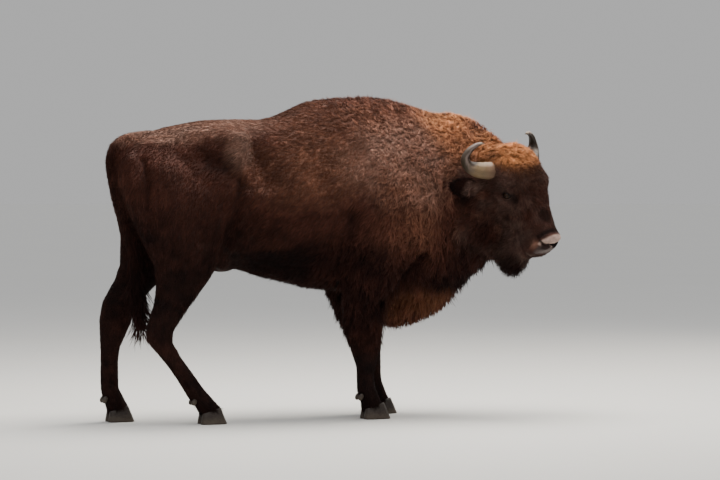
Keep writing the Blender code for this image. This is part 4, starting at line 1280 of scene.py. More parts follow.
# ---------------- horns, hooves, tail
@dataclass
class Horns:
    """The two horns, each out from the temple, up, and in to its tip."""

    beads: ClassVar[list[tuple[float, ...]]] = [  # along, out, up, radius in the head's frame
        (-0.124, 0.070, 0.034, 0.046), (-0.140, 0.140, 0.034, 0.045),
        (-0.170, 0.202, 0.016, 0.039), (-0.206, 0.242, 0.012, 0.030),
        (-0.240, 0.252, 0.030, 0.022), (-0.262, 0.232, 0.062, 0.0160),
        (-0.270, 0.192, 0.092, 0.0105), (-0.264, 0.150, 0.104, 0.004),
    ]
    # 1 where a horn gets painted shade within and a painted rim light outside
    worn: ClassVar[dict[str, float]] = {"right": 0.0, "left": 1.0}
    rings: int = 150
    spokes: int = 40

    def build(self, finish: Material) -> None:
        """Makes both horns, ringed near the root and smooth at the tip.

        Args:
            finish: their material.
        """
        rows = curve_through(self.beads, self.rings)
        t = np.linspace(0, 1, self.rings)[:, None]
        angle = np.linspace(0, 2 * math.pi, self.spokes, endpoint=False)[None]
        waves = np.sin(t * 120 + 2.5 * np.sin(angle)) + np.sin(t * 71 + 3 * np.cos(angle))
        swell = 0.009 * waves * (1 - ramp(0.25, 0.60, t))
        grain = 0.012 * np.sin(angle * 9 + 5 * t) * (1 - ramp(0.7, 0.95, t))
        flat = 1 - 0.05 * np.cos(2 * angle)
        point = 1 - 0.65 * ramp(0.93, 1.0, t)
        radius = rows[:, 3:4] * 0.975 * flat * (1 + swell + grain) * point
        place = np.repeat(t, self.spokes, 1)
        turn = np.stack((np.cos(angle + 0 * t), np.sin(angle + 0 * t), place * 4), 2)
        for name, side in SIDES.items():
            centres = HEAD.world(rows[:, :3] * (1, side, 1))
            run = unit(np.gradient(centres, axis=0))
            across = unit(np.cross(run, HEAD.axes[0]))
            other = np.cross(run, across)
            spoke = np.cos(angle)[..., None] * across[:, None]
            spoke = spoke + np.sin(angle)[..., None] * other[:, None]
            points = centres[:, None] + radius[..., None] * spoke
            tip = centres[-1] + run[-1] * rows[-1, 3]
            points = np.vstack((points.reshape(-1, 3), centres[:1], tip[None]))
            mesh = tube_mesh(f"{name}_horn", points, self.rings, self.spokes)
            bend = unit(np.gradient(run, axis=0))
            inner = (spoke * bend[:, None]).sum(2)
            inner = np.where(inner > 0, inner * ramp(0.24, 0.42, t), inner)
            # on the flagged horn, painted shade over most of its lower part, all but the outer side
            if self.worn[name]:
                inner = np.maximum(inner, ramp(-0.93, -0.78, inner) * ramp(0.88, 0.74, t) - 0.2)
                inner = np.maximum(inner, 0.8 * ramp(0.64, 0.52, t))
            store(mesh, "along", np.append(place.ravel(), (0, 1)))
            store(mesh, "inner", np.append(inner.ravel(), (0, 0)))
            store(mesh, "grain", np.vstack((turn.reshape(-1, 3), (0, 0, 0), (0, 0, 4))))
            store(mesh, "worn", np.full(len(points), self.worn[name]))
            show(f"{name}_horn", mesh, finish, [f"horn_{name}"])


def tube_mesh(name: str, points: Array, rings: int, spokes: int) -> Mesh:
    """A closed tube whose rings come first, then its root's and its tip's middle points.

    Args:
        name: the mesh's name.
        points: rings times spokes points and the two middle points.
        rings: how many rings it has.
        spokes: how many points a ring has.

    Returns:
        The mesh, with its faces pointing out.
    """
    faces = []
    for i in range(rings - 1):
        for k in range(spokes):
            n = (k + 1) % spokes
            low, high = i * spokes, (i + 1) * spokes
            faces.append((low + k, low + n, high + n, high + k))
    root, tip, last = rings * spokes, rings * spokes + 1, (rings - 1) * spokes
    faces += [((k + 1) % spokes, k, root) for k in range(spokes)]
    faces += [(last + k, last + (k + 1) % spokes, tip) for k in range(spokes)]
    mesh = mesh_from_arrays(name, points, np.concatenate(faces), np.array([len(f) for f in faces]))
    form = bmesh.new()
    form.from_mesh(mesh)
    bmesh.ops.recalc_face_normals(form, faces=form.faces)
    form.to_mesh(mesh)
    form.free()
    mesh.shade_smooth()
    return mesh


@dataclass
class Feet:
    """The hooves and dewclaws, smoothed from their solids."""

    crown_lift: float = 0.012  # how far a hoof runs up under the hair
    crown_taper: float = 0.12  # how far it draws in there
    ring_height: float = 0.0045
    ring_depth: float = 0.00035
    height: float = 0.070
    edge_crease: float = 0.85

    def build(self, finish: Material) -> None:
        """Makes every hoof and dewclaw.

        Args:
            finish: their material.
        """
        for leg in ("fore_left", "fore_right", "hind_left", "hind_right"):
            for half in ("a", "b"):
                self.hoof(f"{leg}_hoof_{half}", finish)
                self.claw(f"{leg}_dewclaw_{half}", finish)

    def coarse(self, node: str) -> bmesh.types.BMesh:
        """The CAD node's form, with its faces looking out."""
        form = welded(node)
        bmesh.ops.recalc_face_normals(form, faces=form.faces)
        return form

    def smoothed(self, node: str, form: bmesh.types.BMesh, levels: int) -> Mesh:
        """The form as a mesh, subdivided this many times."""
        return modified(mesh_from_form(node, form), "SUBSURF", levels=levels,
                        render_levels=levels)

    def hoof(self, node: str, finish: Material) -> None:
        """One half of a hoof, with growth rings, flat on the floor.

        Args:
            node: the CAD node that it stands for.
            finish: its material.
        """
        form = self.coarse(node)
        centre = middle(node)
        bmesh.ops.dissolve_limit(form, angle_limit=math.radians(12), verts=form.verts,
                                 edges=form.edges)
        crease = form.edges.layers.float.new("crease_edge")
        for edge in form.edges:
            if len(edge.link_faces) == 2 and edge.calc_face_angle() > math.radians(50):
                edge[crease] = self.edge_crease
        top = [f for f in form.faces if f.normal.z > 0.8]
        for vertex in {v for f in top for v in f.verts}:
            vertex.co.z += self.crown_lift
            vertex.co.x += (centre[0] - vertex.co.x) * self.crown_taper
            vertex.co.y += (centre[1] - vertex.co.y) * self.crown_taper
        mesh = self.smoothed(node, form, 3)
        low = corners(node)[0][2]
        points = np.array([v.co for v in mesh.vertices])
        normals = np.array([v.normal for v in mesh.vertices])
        height = points[:, 2] - low
        slope = height + 0.25 * (points[:, 0] - centre[0])
        rings = np.sin(slope / self.ring_height * 2 * math.pi) * self.ring_depth
        level = np.hypot(normals[:, 0], normals[:, 1]) * ramp(0.002, 0.010, height)
        points += normals * (rings * level)[:, None]
        points[:, 2] = np.maximum(points[:, 2], low)
        reshape(mesh, points)
        mesh.set_sharp_from_angle(angle=math.radians(55))
        store(mesh, "along", height / self.height)
        show("shell_" + node, mesh, finish, [node])

    def claw(self, node: str, finish: Material) -> None:
        """One dewclaw.

        Args:
            node: the CAD node that it stands for.
            finish: its material.
        """
        mesh = self.smoothed(node, self.coarse(node), 2)
        mesh.shade_smooth()
        heights = np.array([v.co.z for v in mesh.vertices])
        store(mesh, "along", (heights - heights.min()) / self.height)
        show("shell_" + node, mesh, finish, [node])


class Tail:
    """The tail's own lie of hair."""

    way: ClassVar[Array] = np.array((0.05, 0.0, -1.0))

    @classmethod
    def ways(cls) -> dict[str, Array]:
        """The way its hair lies: down, and a little to the front."""
        return {node: cls.way for node in ("tail", "tail_tuft")}


# ---------------- the coat
class Piece(Enum):
    """The meshes that the coat is divided into, and the nodes whose hair each holds."""

    HINDQUARTERS = ("coat_hindquarters", ("hindquarters", "udder"))
    BARREL = ("coat_barrel", ("barrel",))
    HUMP = ("coat_hump", ("forequarters",))
    CHEST = ("coat_chest", ())
    NECK = ("coat_neck", ("neck",))
    DEWLAP = ("coat_dewlap", ("dewlap",))
    CROWN = ("coat_crown", ())
    FACE = ("coat_face", ("head", "muzzle", "nose"))
    BEARD = ("coat_beard", ("beard",))
    EARS = ("coat_ears", ("ear_left", "ear_right"))
    FORELEGS = ("coat_forelegs", tuple(FORELEGS))
    HIND_LEGS = ("coat_hind_legs", tuple(HIND_LEGS))
    TAIL = ("coat_tail", ("tail", "tail_tuft"))


@dataclass
class Coat:
    """Every lock of hair, grown from the skin."""

    skin: Skin
    patch: float = 0.003  # of the bake's map, for one lock
    most: int = 190000  # triangles in one piece
    crowd: float = 0.62  # of a style's clump, the reach within which locks gather
    strays: float = 0.93  # the chance above which a lock stands proud of the rest
    cells: int = 12  # that a node's length is counted in when it is unrolled
    # the longest hair that has each number of lengths
    segments: ClassVar[tuple[tuple[float, int], ...]] = (
        (0.033, 1), (0.052, 2), (0.082, 3), (0.125, 4), (9.0, 5))
    rng: np.random.Generator = field(default_factory=lambda: np.random.default_rng(SEED))

    def grow(self, finish: Material) -> None:
        """Samples the roots and makes a mesh for each piece of the coat.

        Args:
            finish: the locks' material.
        """
        roots = self.sample()
        pieces = self.pieces(roots)
        total = 0
        for number, piece in enumerate(Piece):
            chosen = pieces == number
            total += self.mesh(piece, {k: v[chosen] for k, v in roots.items()}, finish)
        log.info("the whole coat: %d triangles", total)

    def sample(self) -> Table:
        """Scatters roots over the skin, as densely as each place's style says.

        Returns:
            For each root: its point, normal, lie, style, tones and node.
        """
        skin = self.skin
        surface = skin.surface
        normals = surface.normals()
        triangles = surface.triangles
        a, b, c = (surface.points[triangles[:, i]] for i in range(3))
        areas = np.linalg.norm(np.cross(b - a, c - a), axis=1) / 2
        wanted = areas * skin.styles[triangles, DENSITY].mean(1)
        edges = np.concatenate(([0], np.cumsum(wanted)))
        count = int(edges[-1])
        draws = (np.arange(count) + self.rng.random(count)) * edges[-1] / count
        chosen = np.searchsorted(edges, draws, side="right") - 1
        chosen = np.minimum(chosen, len(triangles) - 1)
        u, v = np.sqrt(self.rng.random(count)), self.rng.random(count)
        shares = np.stack((1 - u, u * (1 - v), u * v), 1)
        picked = triangles[chosen]

        def read(values: Array) -> Array:
            """What the skin's vertices hold, at the roots."""
            return (values[picked] * shares[..., None]).sum(1)

        normal = unit(read(normals))
        flow = read(skin.flow)
        flow = unit(flow - normal * (flow * normal).sum(1)[:, None])
        return {"point": read(surface.points), "normal": normal, "flow": flow,
                "style": read(skin.styles), "tone": read(skin.tones),
                "node": skin.labels[picked[:, 0]]}

    def pieces(self, roots: Table) -> Array:
        """Divides the coat.

        Args:
            roots: all the roots.

        Returns:
            The number of the piece that each root belongs to.
        """
        of_node = np.zeros(len(FLESH), int)
        numbers = {piece: number for number, piece in enumerate(Piece)}
        for piece, number in numbers.items():
            for node in piece.value[1]:
                of_node[FLESH.index(node)] = number
        result = of_node[roots["node"]]
        low, high = corners("forequarters")
        fore = result == numbers[Piece.HUMP]
        level = low[2] + (high[2] - low[2]) * 0.55
        result[fore & (roots["point"][:, 2] < level)] = numbers[Piece.CHEST]
        face = result == numbers[Piece.FACE]
        along, _, up = HEAD.local(roots["point"]).T
        result[face & ((along < -0.10) | ((up > 0.10) & (along < 0.0)))] = numbers[Piece.CROWN]
        return result

    def clumps(self, point: Array, size: Array) -> Array:
        """Gathers the roots in clumps.

        Args:
            point: the roots' places.
            size: how far each reaches when others gather to it.

        Returns:
            For each root, the number of the root that it gathers to.
        """
        crowd = KDTree(len(point))
        for index, place in enumerate(point.tolist()):
            crowd.insert(place, index)
        crowd.balance()
        leader = np.full(len(point), -1)
        for index in self.rng.permutation(len(point)).tolist():
            if leader[index] >= 0:
                continue
            leader[index] = index
            for _, other, _ in crowd.find_range(point[index].tolist(), float(size[index])):
                if leader[other] < 0:
                    leader[other] = index
        return leader

    def mesh(self, piece: Piece, roots: Table, finish: Material) -> int:
        """Makes one piece of the coat.

        Args:
            piece: which piece.
            roots: its roots.
            finish: the coat's material.

        Returns:
            How many triangles it has.
        """
        name, _ = piece.value
        cost = sum(6 * (roots["style"][:, LENGTH] > step) for step, _ in self.segments) + 4
        kept = self.rng.random(len(cost)) < self.most / max(cost.sum(), self.most)
        roots = {key: values[kept] for key, values in roots.items()}
        style = {f.name: roots["style"][:, i] for i, f in enumerate(fields(CoatStyle))}
        point = roots["point"]
        leader = self.clumps(point, style["clump"] * self.crowd)
        own = self.rng.uniform(-1, 1, (len(leader), 6))
        clan = self.rng.uniform(-1, 1, (len(leader), 4))[leader]
        stray = own[:, 5] > self.strays
        length = style["length"] * (1 + 0.22 * own[:, 0] + 0.10 * clan[:, 3])
        length = np.where(stray, length * 1.3, length)
        length *= 1 - 0.50 * ramp(0.2, 0.9, -roots["normal"][:, 2]) * ramp(0.05, 0.09, length)
        locks = {**roots, **style, "length": length, "stray": stray, "own": own, "clan": clan,
                 "pull": point[leader] - point, "map": self.unwrap(roots)}
        groups, first, low = [], 0, -1.0
        for high, segments in self.segments:
            chosen = (style["length"] > low) & (style["length"] <= high)
            low = high
            if chosen.any():
                some = {key: values[chosen] for key, values in locks.items()}
                groups.append(self.strands(some, segments, first))
                first += int(chosen.sum()) * (3 * segments + 1)
        joined = [np.concatenate(parts) for parts in zip(*groups)]
        points, corner_points, sizes, uv, root, along, tint, tone = joined
        mesh = mesh_from_arrays(name, points, corner_points, sizes)
        layer = mesh.uv_layers.new(name="OFBake")
        layer.uv.foreach_set("vector", uv.astype(np.float32).ravel())
        mark(mesh, root, along, tint, tone)
        show(name, mesh, finish, sorted({FLESH[i] for i in np.unique(roots["node"])}))
        triangles = int((sizes - 2).sum())
        log.info("%s: %d locks of %d, %d triangles", name, len(leader), len(kept), triangles)
        return triangles

    def strands(self, locks: Table, segments: int, first: int) -> tuple[Array, ...]:
        """Locks with one number of segments: three-sided, tapered, bent and closed.

        Args:
            locks: the roots' and the style's numbers for each lock, its own chances and its
                clump's, its pull to the clump's middle and its place on the bake's map.
            segments: how many lengths each lock has.
            first: the number of these locks' first vertex in the mesh.

        Returns:
            Points, corners, face sizes, map places, roots, places along, tints and tones.
        """
        count = len(locks["point"])
        own, clan, stray = locks["own"], locks["clan"], locks["stray"]
        normal, flow = locks["normal"], locks["flow"]
        side = np.cross(normal, flow)
        yaw = locks["sway"] * (1.1 * clan[:, 0] + 0.5 * own[:, 1])
        ahead = np.cos(yaw)[:, None] * flow + np.sin(yaw)[:, None] * side
        aside = np.cross(normal, ahead)
        turn = locks["curl"] * (1.1 * clan[:, 1] + 0.5 * own[:, 2])
        lift = np.radians(locks["lift"]) * (1 + 0.25 * own[:, 3] + 0.3 * clan[:, 2])
        lift = np.where(stray, lift * 1.5, lift)
        step = (locks["length"] / segments)[:, None]
        line = [locks["point"] - normal * (0.035 * locks["length"])[:, None]]
        for k in range(segments):
            t = (k + 0.5) / segments
            rise = lift * (1.7 - 1.4 * t) if segments > 1 else lift
            bend = turn * t * 2.2
            way = np.cos(bend)[:, None] * ahead + np.sin(bend)[:, None] * aside
            way = np.cos(rise)[:, None] * way + np.sin(rise)[:, None] * normal
            way = unit(way + (locks["sag"] * t)[:, None] * DOWN)
            below = (way * normal).sum(1)
            way = unit(way - normal * np.minimum(below + 0.06, 0)[:, None])
            line.append(line[-1] + way * step)
        line = np.stack(line, 1)
        t = np.linspace(0, 1, segments + 1)
        pull = locks["pull"] - normal * (locks["pull"] * normal).sum(1)[:, None]
        line = line + pull[:, None] * locks["gather"][:, None, None] * (t**1.3)[None, :, None]
        run = unit(np.gradient(line, axis=1))
        flat = unit(np.cross(normal[:, None], run))
        raised = np.cross(run, flat)
        twist = (own[:, 4] * 0.6)[:, None, None]
        flat, raised = (np.cos(twist) * flat + np.sin(twist) * raised,
                        np.cos(twist) * raised - np.sin(twist) * flat)
        girth = (0.78 + 0.5 * t[:-1]) * np.sqrt(1 - t[:-1])
        half = locks["width"][:, None] * girth[None] / 2
        half = half * np.where(stray, 0.55, 1.0)[:, None]
        ring = line[:, :-1, None] + np.stack((
            -half[..., None] * flat[:, :-1],
            half[..., None] * flat[:, :-1],
            0.75 * half[..., None] * raised[:, :-1]), 2)
        points = np.concatenate((ring.reshape(count, -1, 3), line[:, -1:]), 1)

        faces, spots = self.template(segments)
        size = 3 * segments + 1
        corner_points = first + (np.arange(count) * size)[:, None] + np.concatenate(faces)[None]
        uv = locks["map"][:, None] + self.patch * (spots[None] - 0.5)
        along = np.append(np.repeat(t[:-1], 3), 1.0)
        tint = np.clip(0.5 + 0.24 * clan[:, 3] + 0.26 * own[:, 0], 0, 1)
        return (points.reshape(-1, 3), corner_points.ravel(),
                np.tile([len(face) for face in faces], count), uv.reshape(-1, 2),
                np.repeat(locks["point"], size, 0), np.tile(along, count),
                np.repeat(tint, size), np.repeat(locks["tone"], size, 0))

    def template(self, segments: int) -> tuple[list[tuple[int, ...]], Array]:
        """The faces of one lock, and each corner's place in its patch of the map.

        Args:
            segments: how many lengths the lock has.

        Returns:
            The faces as vertex numbers, and a row for each corner.
        """
        faces, spots = [(0, 1, 2)], [(0.30, 0.0), (0.60, 0.0), (0.45, 0.04)]
        tip = 3 * segments
        for k in range(segments):
            low, high = k / segments, (k + 1) / segments
            for s in range(3):
                n = (s + 1) % 3
                left, right = s / 3, (s + 1) / 3
                if k < segments - 1:
                    faces.append((3 * k + n, 3 * k + s, 3 * k + 3 + s, 3 * k + 3 + n))
                    spots += [(right, low), (left, low), (left, high), (right, high)]
                else:
                    faces.append((3 * k + n, 3 * k + s, tip))
                    spots += [(right, low), (left, low), ((left + right) / 2, high)]
        return faces, np.array(spots)

    def unwrap(self, roots: Table) -> Array:
        """Each root's place on a map of the piece's own skin.

        Each node's length of skin is unrolled like a sleeve, round its own middle line, into a
        column of the map.

        Args:
            roots: the piece's roots.

        Returns:
            Two numbers from 0 to 1 for each root.
        """
        places = np.zeros((len(roots["node"]), 2))
        present = np.unique(roots["node"])
        for column, index in enumerate(present):
            chosen = np.flatnonzero(roots["node"] == index)
            points = roots["point"][chosen]
            low, high = points.min(0), points.max(0)
            long = int(np.argmax(high - low))
            wide = [axis for axis in range(3) if axis != long]
            t = (points[:, long] - low[long]) / max(high[long] - low[long], 1e-6)
            cell = np.clip((t * self.cells).astype(int), 0, self.cells - 1)
            held = np.bincount(cell, minlength=self.cells)
            full = np.flatnonzero(held)
            centres = np.stack([
                np.interp(t * self.cells - 0.5, full,
                          np.bincount(cell, points[:, axis], self.cells)[full] / held[full])
                for axis in wide], 1)
            away = points[:, wide] - centres
            angle = np.arctan2(away[:, 1], away[:, 0]) / (2 * math.pi) + 0.5
            places[chosen, 0] = (column + 0.02 + 0.96 * angle) / len(present)
            places[chosen, 1] = 0.01 + 0.98 * t
        return places


# ---------------- finishes
class Nodes:
    """A short way to lay out a shader's nodes."""

    def __init__(self, tree: bpy.types.NodeTree) -> None:
        """Works on this tree."""
        self.tree = tree

    def add(self, kind: str, inputs: dict[int | str, Feed] | None = None,
            **settings: object) -> bpy.types.Node:
        """Adds a node.

        Args:
            kind: the node's type name.
            inputs: socket values, or sockets of other nodes to link.
            settings: the node's own properties.

        Returns:
            The node.
        """
        node = self.tree.nodes.new(kind)
        for key, value in settings.items():
            setattr(node, key, value)
        for key, value in (inputs or {}).items():
            if isinstance(value, Socket):
                self.tree.links.new(value, node.inputs[key])
            else:
                node.inputs[key].default_value = value
        return node

    def mix(self, share: Feed, first: Feed, second: Feed) -> Socket:
        """A colour between two others."""
        return self.add("ShaderNodeMix", {0: share, 6: first, 7: second},
                        data_type="RGBA").outputs[2]

    def math(self, operation: str, first: Feed, second: Feed = 0.0,
             clamp: bool = False) -> Socket:
        """One sum."""
        return self.add("ShaderNodeMath", {0: first, 1: second}, operation=operation,
                        use_clamp=clamp).outputs[0]

    def times(self, first: Feed, second: Feed) -> Socket:
        """The product of two numbers."""
        return self.math("MULTIPLY", first, second)

    def parts(self, vector: Socket) -> list[Socket]:
        """The three numbers of a vector."""
        return self.add("ShaderNodeSeparateXYZ", {0: vector}).outputs

    def stretch(self, vector: Socket, factors: Place) -> Socket:
        """A vector times a factor on each axis."""
        return self.add("ShaderNodeVectorMath", {0: vector, 1: factors},
                        operation="MULTIPLY").outputs[0]

    def noise(self, place: Socket, scale: float, detail: float = 2.0,
              rough: float = 0.5) -> Socket:
        """Soft noise from 0 to 1."""
        return self.add("ShaderNodeTexNoise", {"Vector": place, "Scale": scale,
                                               "Detail": detail,
                                               "Roughness": rough}).outputs["Fac"]

    def fit(self, value: Socket, low: float, high: float, to_low: float = 0.0,
            to_high: float = 1.0) -> Socket:
        """A value moved smoothly from one range to another."""
        return self.add("ShaderNodeMapRange", {0: value, 1: low, 2: high, 3: to_low, 4: to_high},
                        interpolation_type="SMOOTHSTEP").outputs[0]


def colour(red: float, green: float, blue: float) -> Colour:
    """An opaque linear colour."""
    return (red, green, blue, 1.0)


def new_group(name: str, inputs: dict[str, str],
              outputs: dict[str, str]) -> tuple[bpy.types.NodeTree, Nodes, bpy.types.Node,
                                                bpy.types.Node]:
    """An empty shader node group.

    Args:
        name: the group's name.
        inputs: each input's name and socket type.
        outputs: each output's name and socket type.

    Returns:
        The group, a Nodes helper on it, its input node and its output node.
    """
    group = bpy.data.node_groups.new(name, "ShaderNodeTree")
    for way, sockets in (("INPUT", inputs), ("OUTPUT", outputs)):
        for socket, kind in sockets.items():
            group.interface.new_socket(name=socket, in_out=way, socket_type=kind)
    nodes = Nodes(group)
    return group, nodes, nodes.add("NodeGroupInput"), nodes.add("NodeGroupOutput")


@dataclass(frozen=True)
class Markings:
    """The colours of a wisent's coat, for its skin and its hair alike. The dark colour also paints
    shade in places, and lighter colours paint highlights in places.
    """

    brown: Colour = colour(0.062, 0.022, 0.015)
    tan: Colour = colour(0.165, 0.070, 0.042)
    ginger: Colour = colour(0.400, 0.165, 0.066)
    dark: Colour = colour(0.0100, 0.0040, 0.0034)
    pale: Colour = colour(0.540, 0.385, 0.325)
    bare: Colour = colour(0.062, 0.038, 0.036)
    worn: Colour = colour(0.230, 0.150, 0.125)

    def group(self) -> bpy.types.NodeTree:
        """The node group that works the colour out from a place's tones.

        Returns:
            The group.
        """
        vector, number = "NodeSocketVector", "NodeSocketFloat"
        group, n, given, result = new_group(
            "markings", {"Root": vector, "Tones": vector, "Marks": vector, "Along": number,
                         "Tint": number}, {"Colour": "NodeSocketColor"})
        ginger, tan, dark = n.parts(given.outputs["Tones"])
        pale, bare, worn = n.parts(given.outputs["Marks"])
        root = given.outputs["Root"]
        broad = n.noise(root, 4.0, 3.0)
        fine = n.noise(root, 22.0, 3.0, 0.6)
        edge = n.math("ADD", n.fit(broad, 0.25, 0.75, -0.18, 0.18),
                      n.fit(fine, 0.25, 0.75, -0.16, 0.16))

        def soft(mask: Socket) -> Socket:
            """The mask with a broken edge, left alone where it is nothing."""
            spread = n.times(n.math("MINIMUM", n.times(mask, 4.0), 1.0), edge)
            return n.math("ADD", mask, spread, clamp=True)

        shade = n.mix(soft(tan), self.brown, self.tan)
        shade = n.mix(soft(ginger), shade, self.ginger)
        shade = n.mix(soft(dark), shade, self.dark)
        shade = n.mix(soft(worn), shade, self.worn)
        shade = n.mix(bare, shade, self.bare)
        shade = n.mix(pale, shade, self.pale)
        tip = n.fit(given.outputs["Along"], 0.0, 1.0, 0.62, 1.34)
        tint = n.fit(given.outputs["Tint"], 0.0, 1.0, 0.66, 1.38)
        mottle = n.times(n.fit(n.noise(root, 9.0, 4.0, 0.6), 0.25, 0.75, 0.72, 1.30),
                         n.fit(n.noise(root, 38.0, 3.0, 0.6), 0.28, 0.72, 0.78, 1.26))
        light = n.times(n.times(tip, tint), mottle)
        bright = n.add("ShaderNodeVectorMath", {0: shade, "Scale": light}, operation="SCALE")
        n.tree.links.new(bright.outputs[0], result.inputs["Colour"])
        return group


class Finish:
    """The start of every material here: a Principled shader on its own."""

    def __init__(self, name: str, roughness: float, **constants: float) -> None:
        """Makes the material and sets the shader's constant sockets.

        Args:
            name: the material's name.
            roughness: its roughness where nothing else feeds it.
            constants: other sockets' values, with _ for each space in a socket's name.
        """
        self.material = bpy.data.materials.new(name)
        self.material.use_nodes = True
        self.nodes = Nodes(self.material.node_tree)
        self.shader = self.material.node_tree.nodes["Principled BSDF"]
        self.shader.inputs["Roughness"].default_value = roughness
        for key, value in constants.items():
            self.shader.inputs[key.replace("_", " ")].default_value = value

    def read(self, name: str, output: str = "Fac") -> Socket:
        """One of the mesh's attributes, as a number, or as a vector with "Vector"."""
        return self.nodes.add("ShaderNodeAttribute", attribute_name=name).outputs[output]

    def link(self, source: Socket, socket: str) -> None:
        """Feeds one of the shader's sockets."""
        self.nodes.tree.links.new(source, self.shader.inputs[socket])

    def bump(self, height: Socket, distance: float) -> None:
        """Feeds the shader's normal from a height."""
        node = self.nodes.add("ShaderNodeBump", {"Height": height, "Distance": distance})
        self.link(node.outputs[0], "Normal")

    def place_markings(self, markings: bpy.types.NodeTree) -> None:
        """Feeds the base colour from the markings.

        Args:
            markings: their node group, fed here from the mesh's own attributes.
        """
        group = self.nodes.add("ShaderNodeGroup", node_tree=markings)
        for socket, output in (("Root", "Vector"), ("Tones", "Vector"), ("Marks", "Vector"),
                               ("Along", "Fac"), ("Tint", "Fac")):
            self.nodes.tree.links.new(self.read(socket.lower(), output), group.inputs[socket])
        self.link(group.outputs["Colour"], "Base Color")


@dataclass(frozen=True)
class HairFinish:
    """The finish of the coat's locks."""

    roughness: float = 0.62

    def build(self, markings: bpy.types.NodeTree) -> Material:
        """Makes the material on the shared markings."""
        made = Finish("hair", self.roughness, Specular_IOR_Level=0.06)
        made.place_markings(markings)
        return made.material


@dataclass(frozen=True)
class SkinFinish:
    """The finish of the skin: short hair as bump, and wet, pebbled skin where it is bare."""

    hair_roughness: float = 0.75
    wet_roughness: float = 0.52

    def build(self, markings: bpy.types.NodeTree) -> Material:
        """Makes the material on the shared markings.

        Args:
            markings: their node group.

        Returns:
            The material.
        """
        made = Finish("skin", self.hair_roughness, Specular_IOR_Level=0.12)
        n = made.nodes
        made.place_markings(markings)
        _, bare, _ = n.parts(made.read("marks", "Vector"))
        root = made.read("root", "Vector")
        cells = n.add("ShaderNodeTexVoronoi", {"Vector": root, "Scale": 420.0},
                      feature="DISTANCE_TO_EDGE").outputs["Distance"]
        pebbles = n.times(n.fit(cells, 0.0, 0.25), bare)
        fur = n.times(n.noise(root, 260.0, 3.0, 0.7), 0.8)
        made.bump(n.math("ADD", pebbles, fur), 0.0009)
        made.link(n.fit(bare, 0.2, 0.9, self.hair_roughness, self.wet_roughness), "Roughness")
        return made.material


@dataclass(frozen=True)
class HornFinish:
    """The finish of a horn: cream at the root, grey further out, with painted shade inside its
    curve and, on one horn, a painted rim light outside it.
    """

    root: Colour = colour(0.150, 0.100, 0.052)
    shaft: Colour = colour(0.130, 0.096, 0.086)
    # rim is a painted rim light; inside and bend are painted shade inside the curve
    rim: Colour = colour(0.170, 0.125, 0.095)
    inside: Colour = colour(0.022, 0.013, 0.008)
    bend: Colour = colour(0.022, 0.016, 0.009)
    quick: Colour = colour(0.105, 0.055, 0.036)
    tip: Colour = colour(0.260, 0.215, 0.170)
    blotch: Colour = colour(0.070, 0.055, 0.030)
    streak: Colour = colour(0.062, 0.046, 0.030)
    band: Colour = colour(0.100, 0.078, 0.052)

    def build(self) -> Material:
        """Makes the material.

        Returns:
            The material.
        """
        made = Finish("horn", 0.50, Specular_IOR_Level=0.22)
        n = made.nodes
        along, inner, worn = (made.read(name) for name in ("along", "inner", "worn"))
        grain = made.read("grain", "Vector")
        streaks = n.noise(n.stretch(grain, (5.0, 5.0, 0.5)), 1.6, 4.0, 0.6)
        bands = n.noise(n.stretch(grain, (0.4, 0.4, 9.0)), 2.0, 3.0)
        body = n.mix(n.fit(along, 0.30, 0.48), self.root, self.shaft)
        # painted rim light on the outer side of the flagged horn
        outside = n.times(n.fit(inner, -0.30, -0.85), n.fit(along, 0.42, 0.60))
        body = n.mix(n.times(outside, worn), body, self.rim)
        patch = n.times(n.fit(along, 0.34, 0.44), n.fit(along, 0.62, 0.50))
        patch = n.times(patch, n.fit(n.noise(grain, 1.8, 3.0), 0.40, 0.55))
        body = n.mix(n.times(patch, 0.75), body, self.blotch)
        body = n.mix(n.fit(along, 0.86, 0.96), body, self.tip)
        body = n.mix(n.fit(along, 0.27, 0.12, 0.0, 0.90), body, self.quick)
        body = n.mix(n.fit(streaks, 0.42, 0.72, 0.0, 0.60), body, self.streak)
        body = n.mix(n.fit(bands, 0.50, 0.75, 0.0, 0.35), body, self.band)
        # painted shade inside the curve, deeper at the bend
        bend = n.times(n.fit(along, 0.30, 0.46), n.fit(along, 0.84, 0.66))
        within = n.math("SUBTRACT", n.fit(inner, 0.05, -0.60), worn, clamp=True)
        body = n.mix(n.times(n.times(bend, within), 0.85), body, self.bend)
        body = n.mix(n.fit(inner, 0.05, 0.55), body, self.inside)
        made.link(body, "Base Color")
        made.link(n.fit(streaks, 0.2, 0.8, 0.42, 0.64), "Roughness")
        made.bump(n.math("ADD", streaks, bands), 0.0008)
        return made.material


@dataclass(frozen=True)
class HoofFinish:
    """The finish of hooves and dewclaws: dark grey horn, scuffed and dusty at the ground."""

    wall: Colour = colour(0.018, 0.012, 0.009)
    scuffed: Colour = colour(0.045, 0.032, 0.024)
    dust: Colour = colour(0.120, 0.090, 0.062)

    def build(self) -> Material:
        """Makes the material.

        Returns:
            The material.
        """
        made = Finish("hoof", 0.55, Specular_IOR_Level=0.4)
        n = made.nodes
        place = n.add("ShaderNodeTexCoord").outputs["Object"]
        lines = n.noise(n.stretch(place, (1.0, 1.0, 7.0)), 60.0, 3.0, 0.6)
        dust = n.noise(place, 38.0, 4.0, 0.65)
        low = n.math("ADD", made.read("along"), n.times(dust, 0.6))
        body = n.mix(n.fit(lines, 0.4, 0.7, 0.0, 0.5), self.wall, self.scuffed)
        body = n.mix(n.times(n.fit(low, 0.25, 1.0, 1.0, 0.0), 0.35), body, self.dust)
        made.link(body, "Base Color")
        made.link(n.fit(dust, 0.3, 0.7, 0.45, 0.75), "Roughness")
        made.bump(lines, 0.0006)
        return made.material


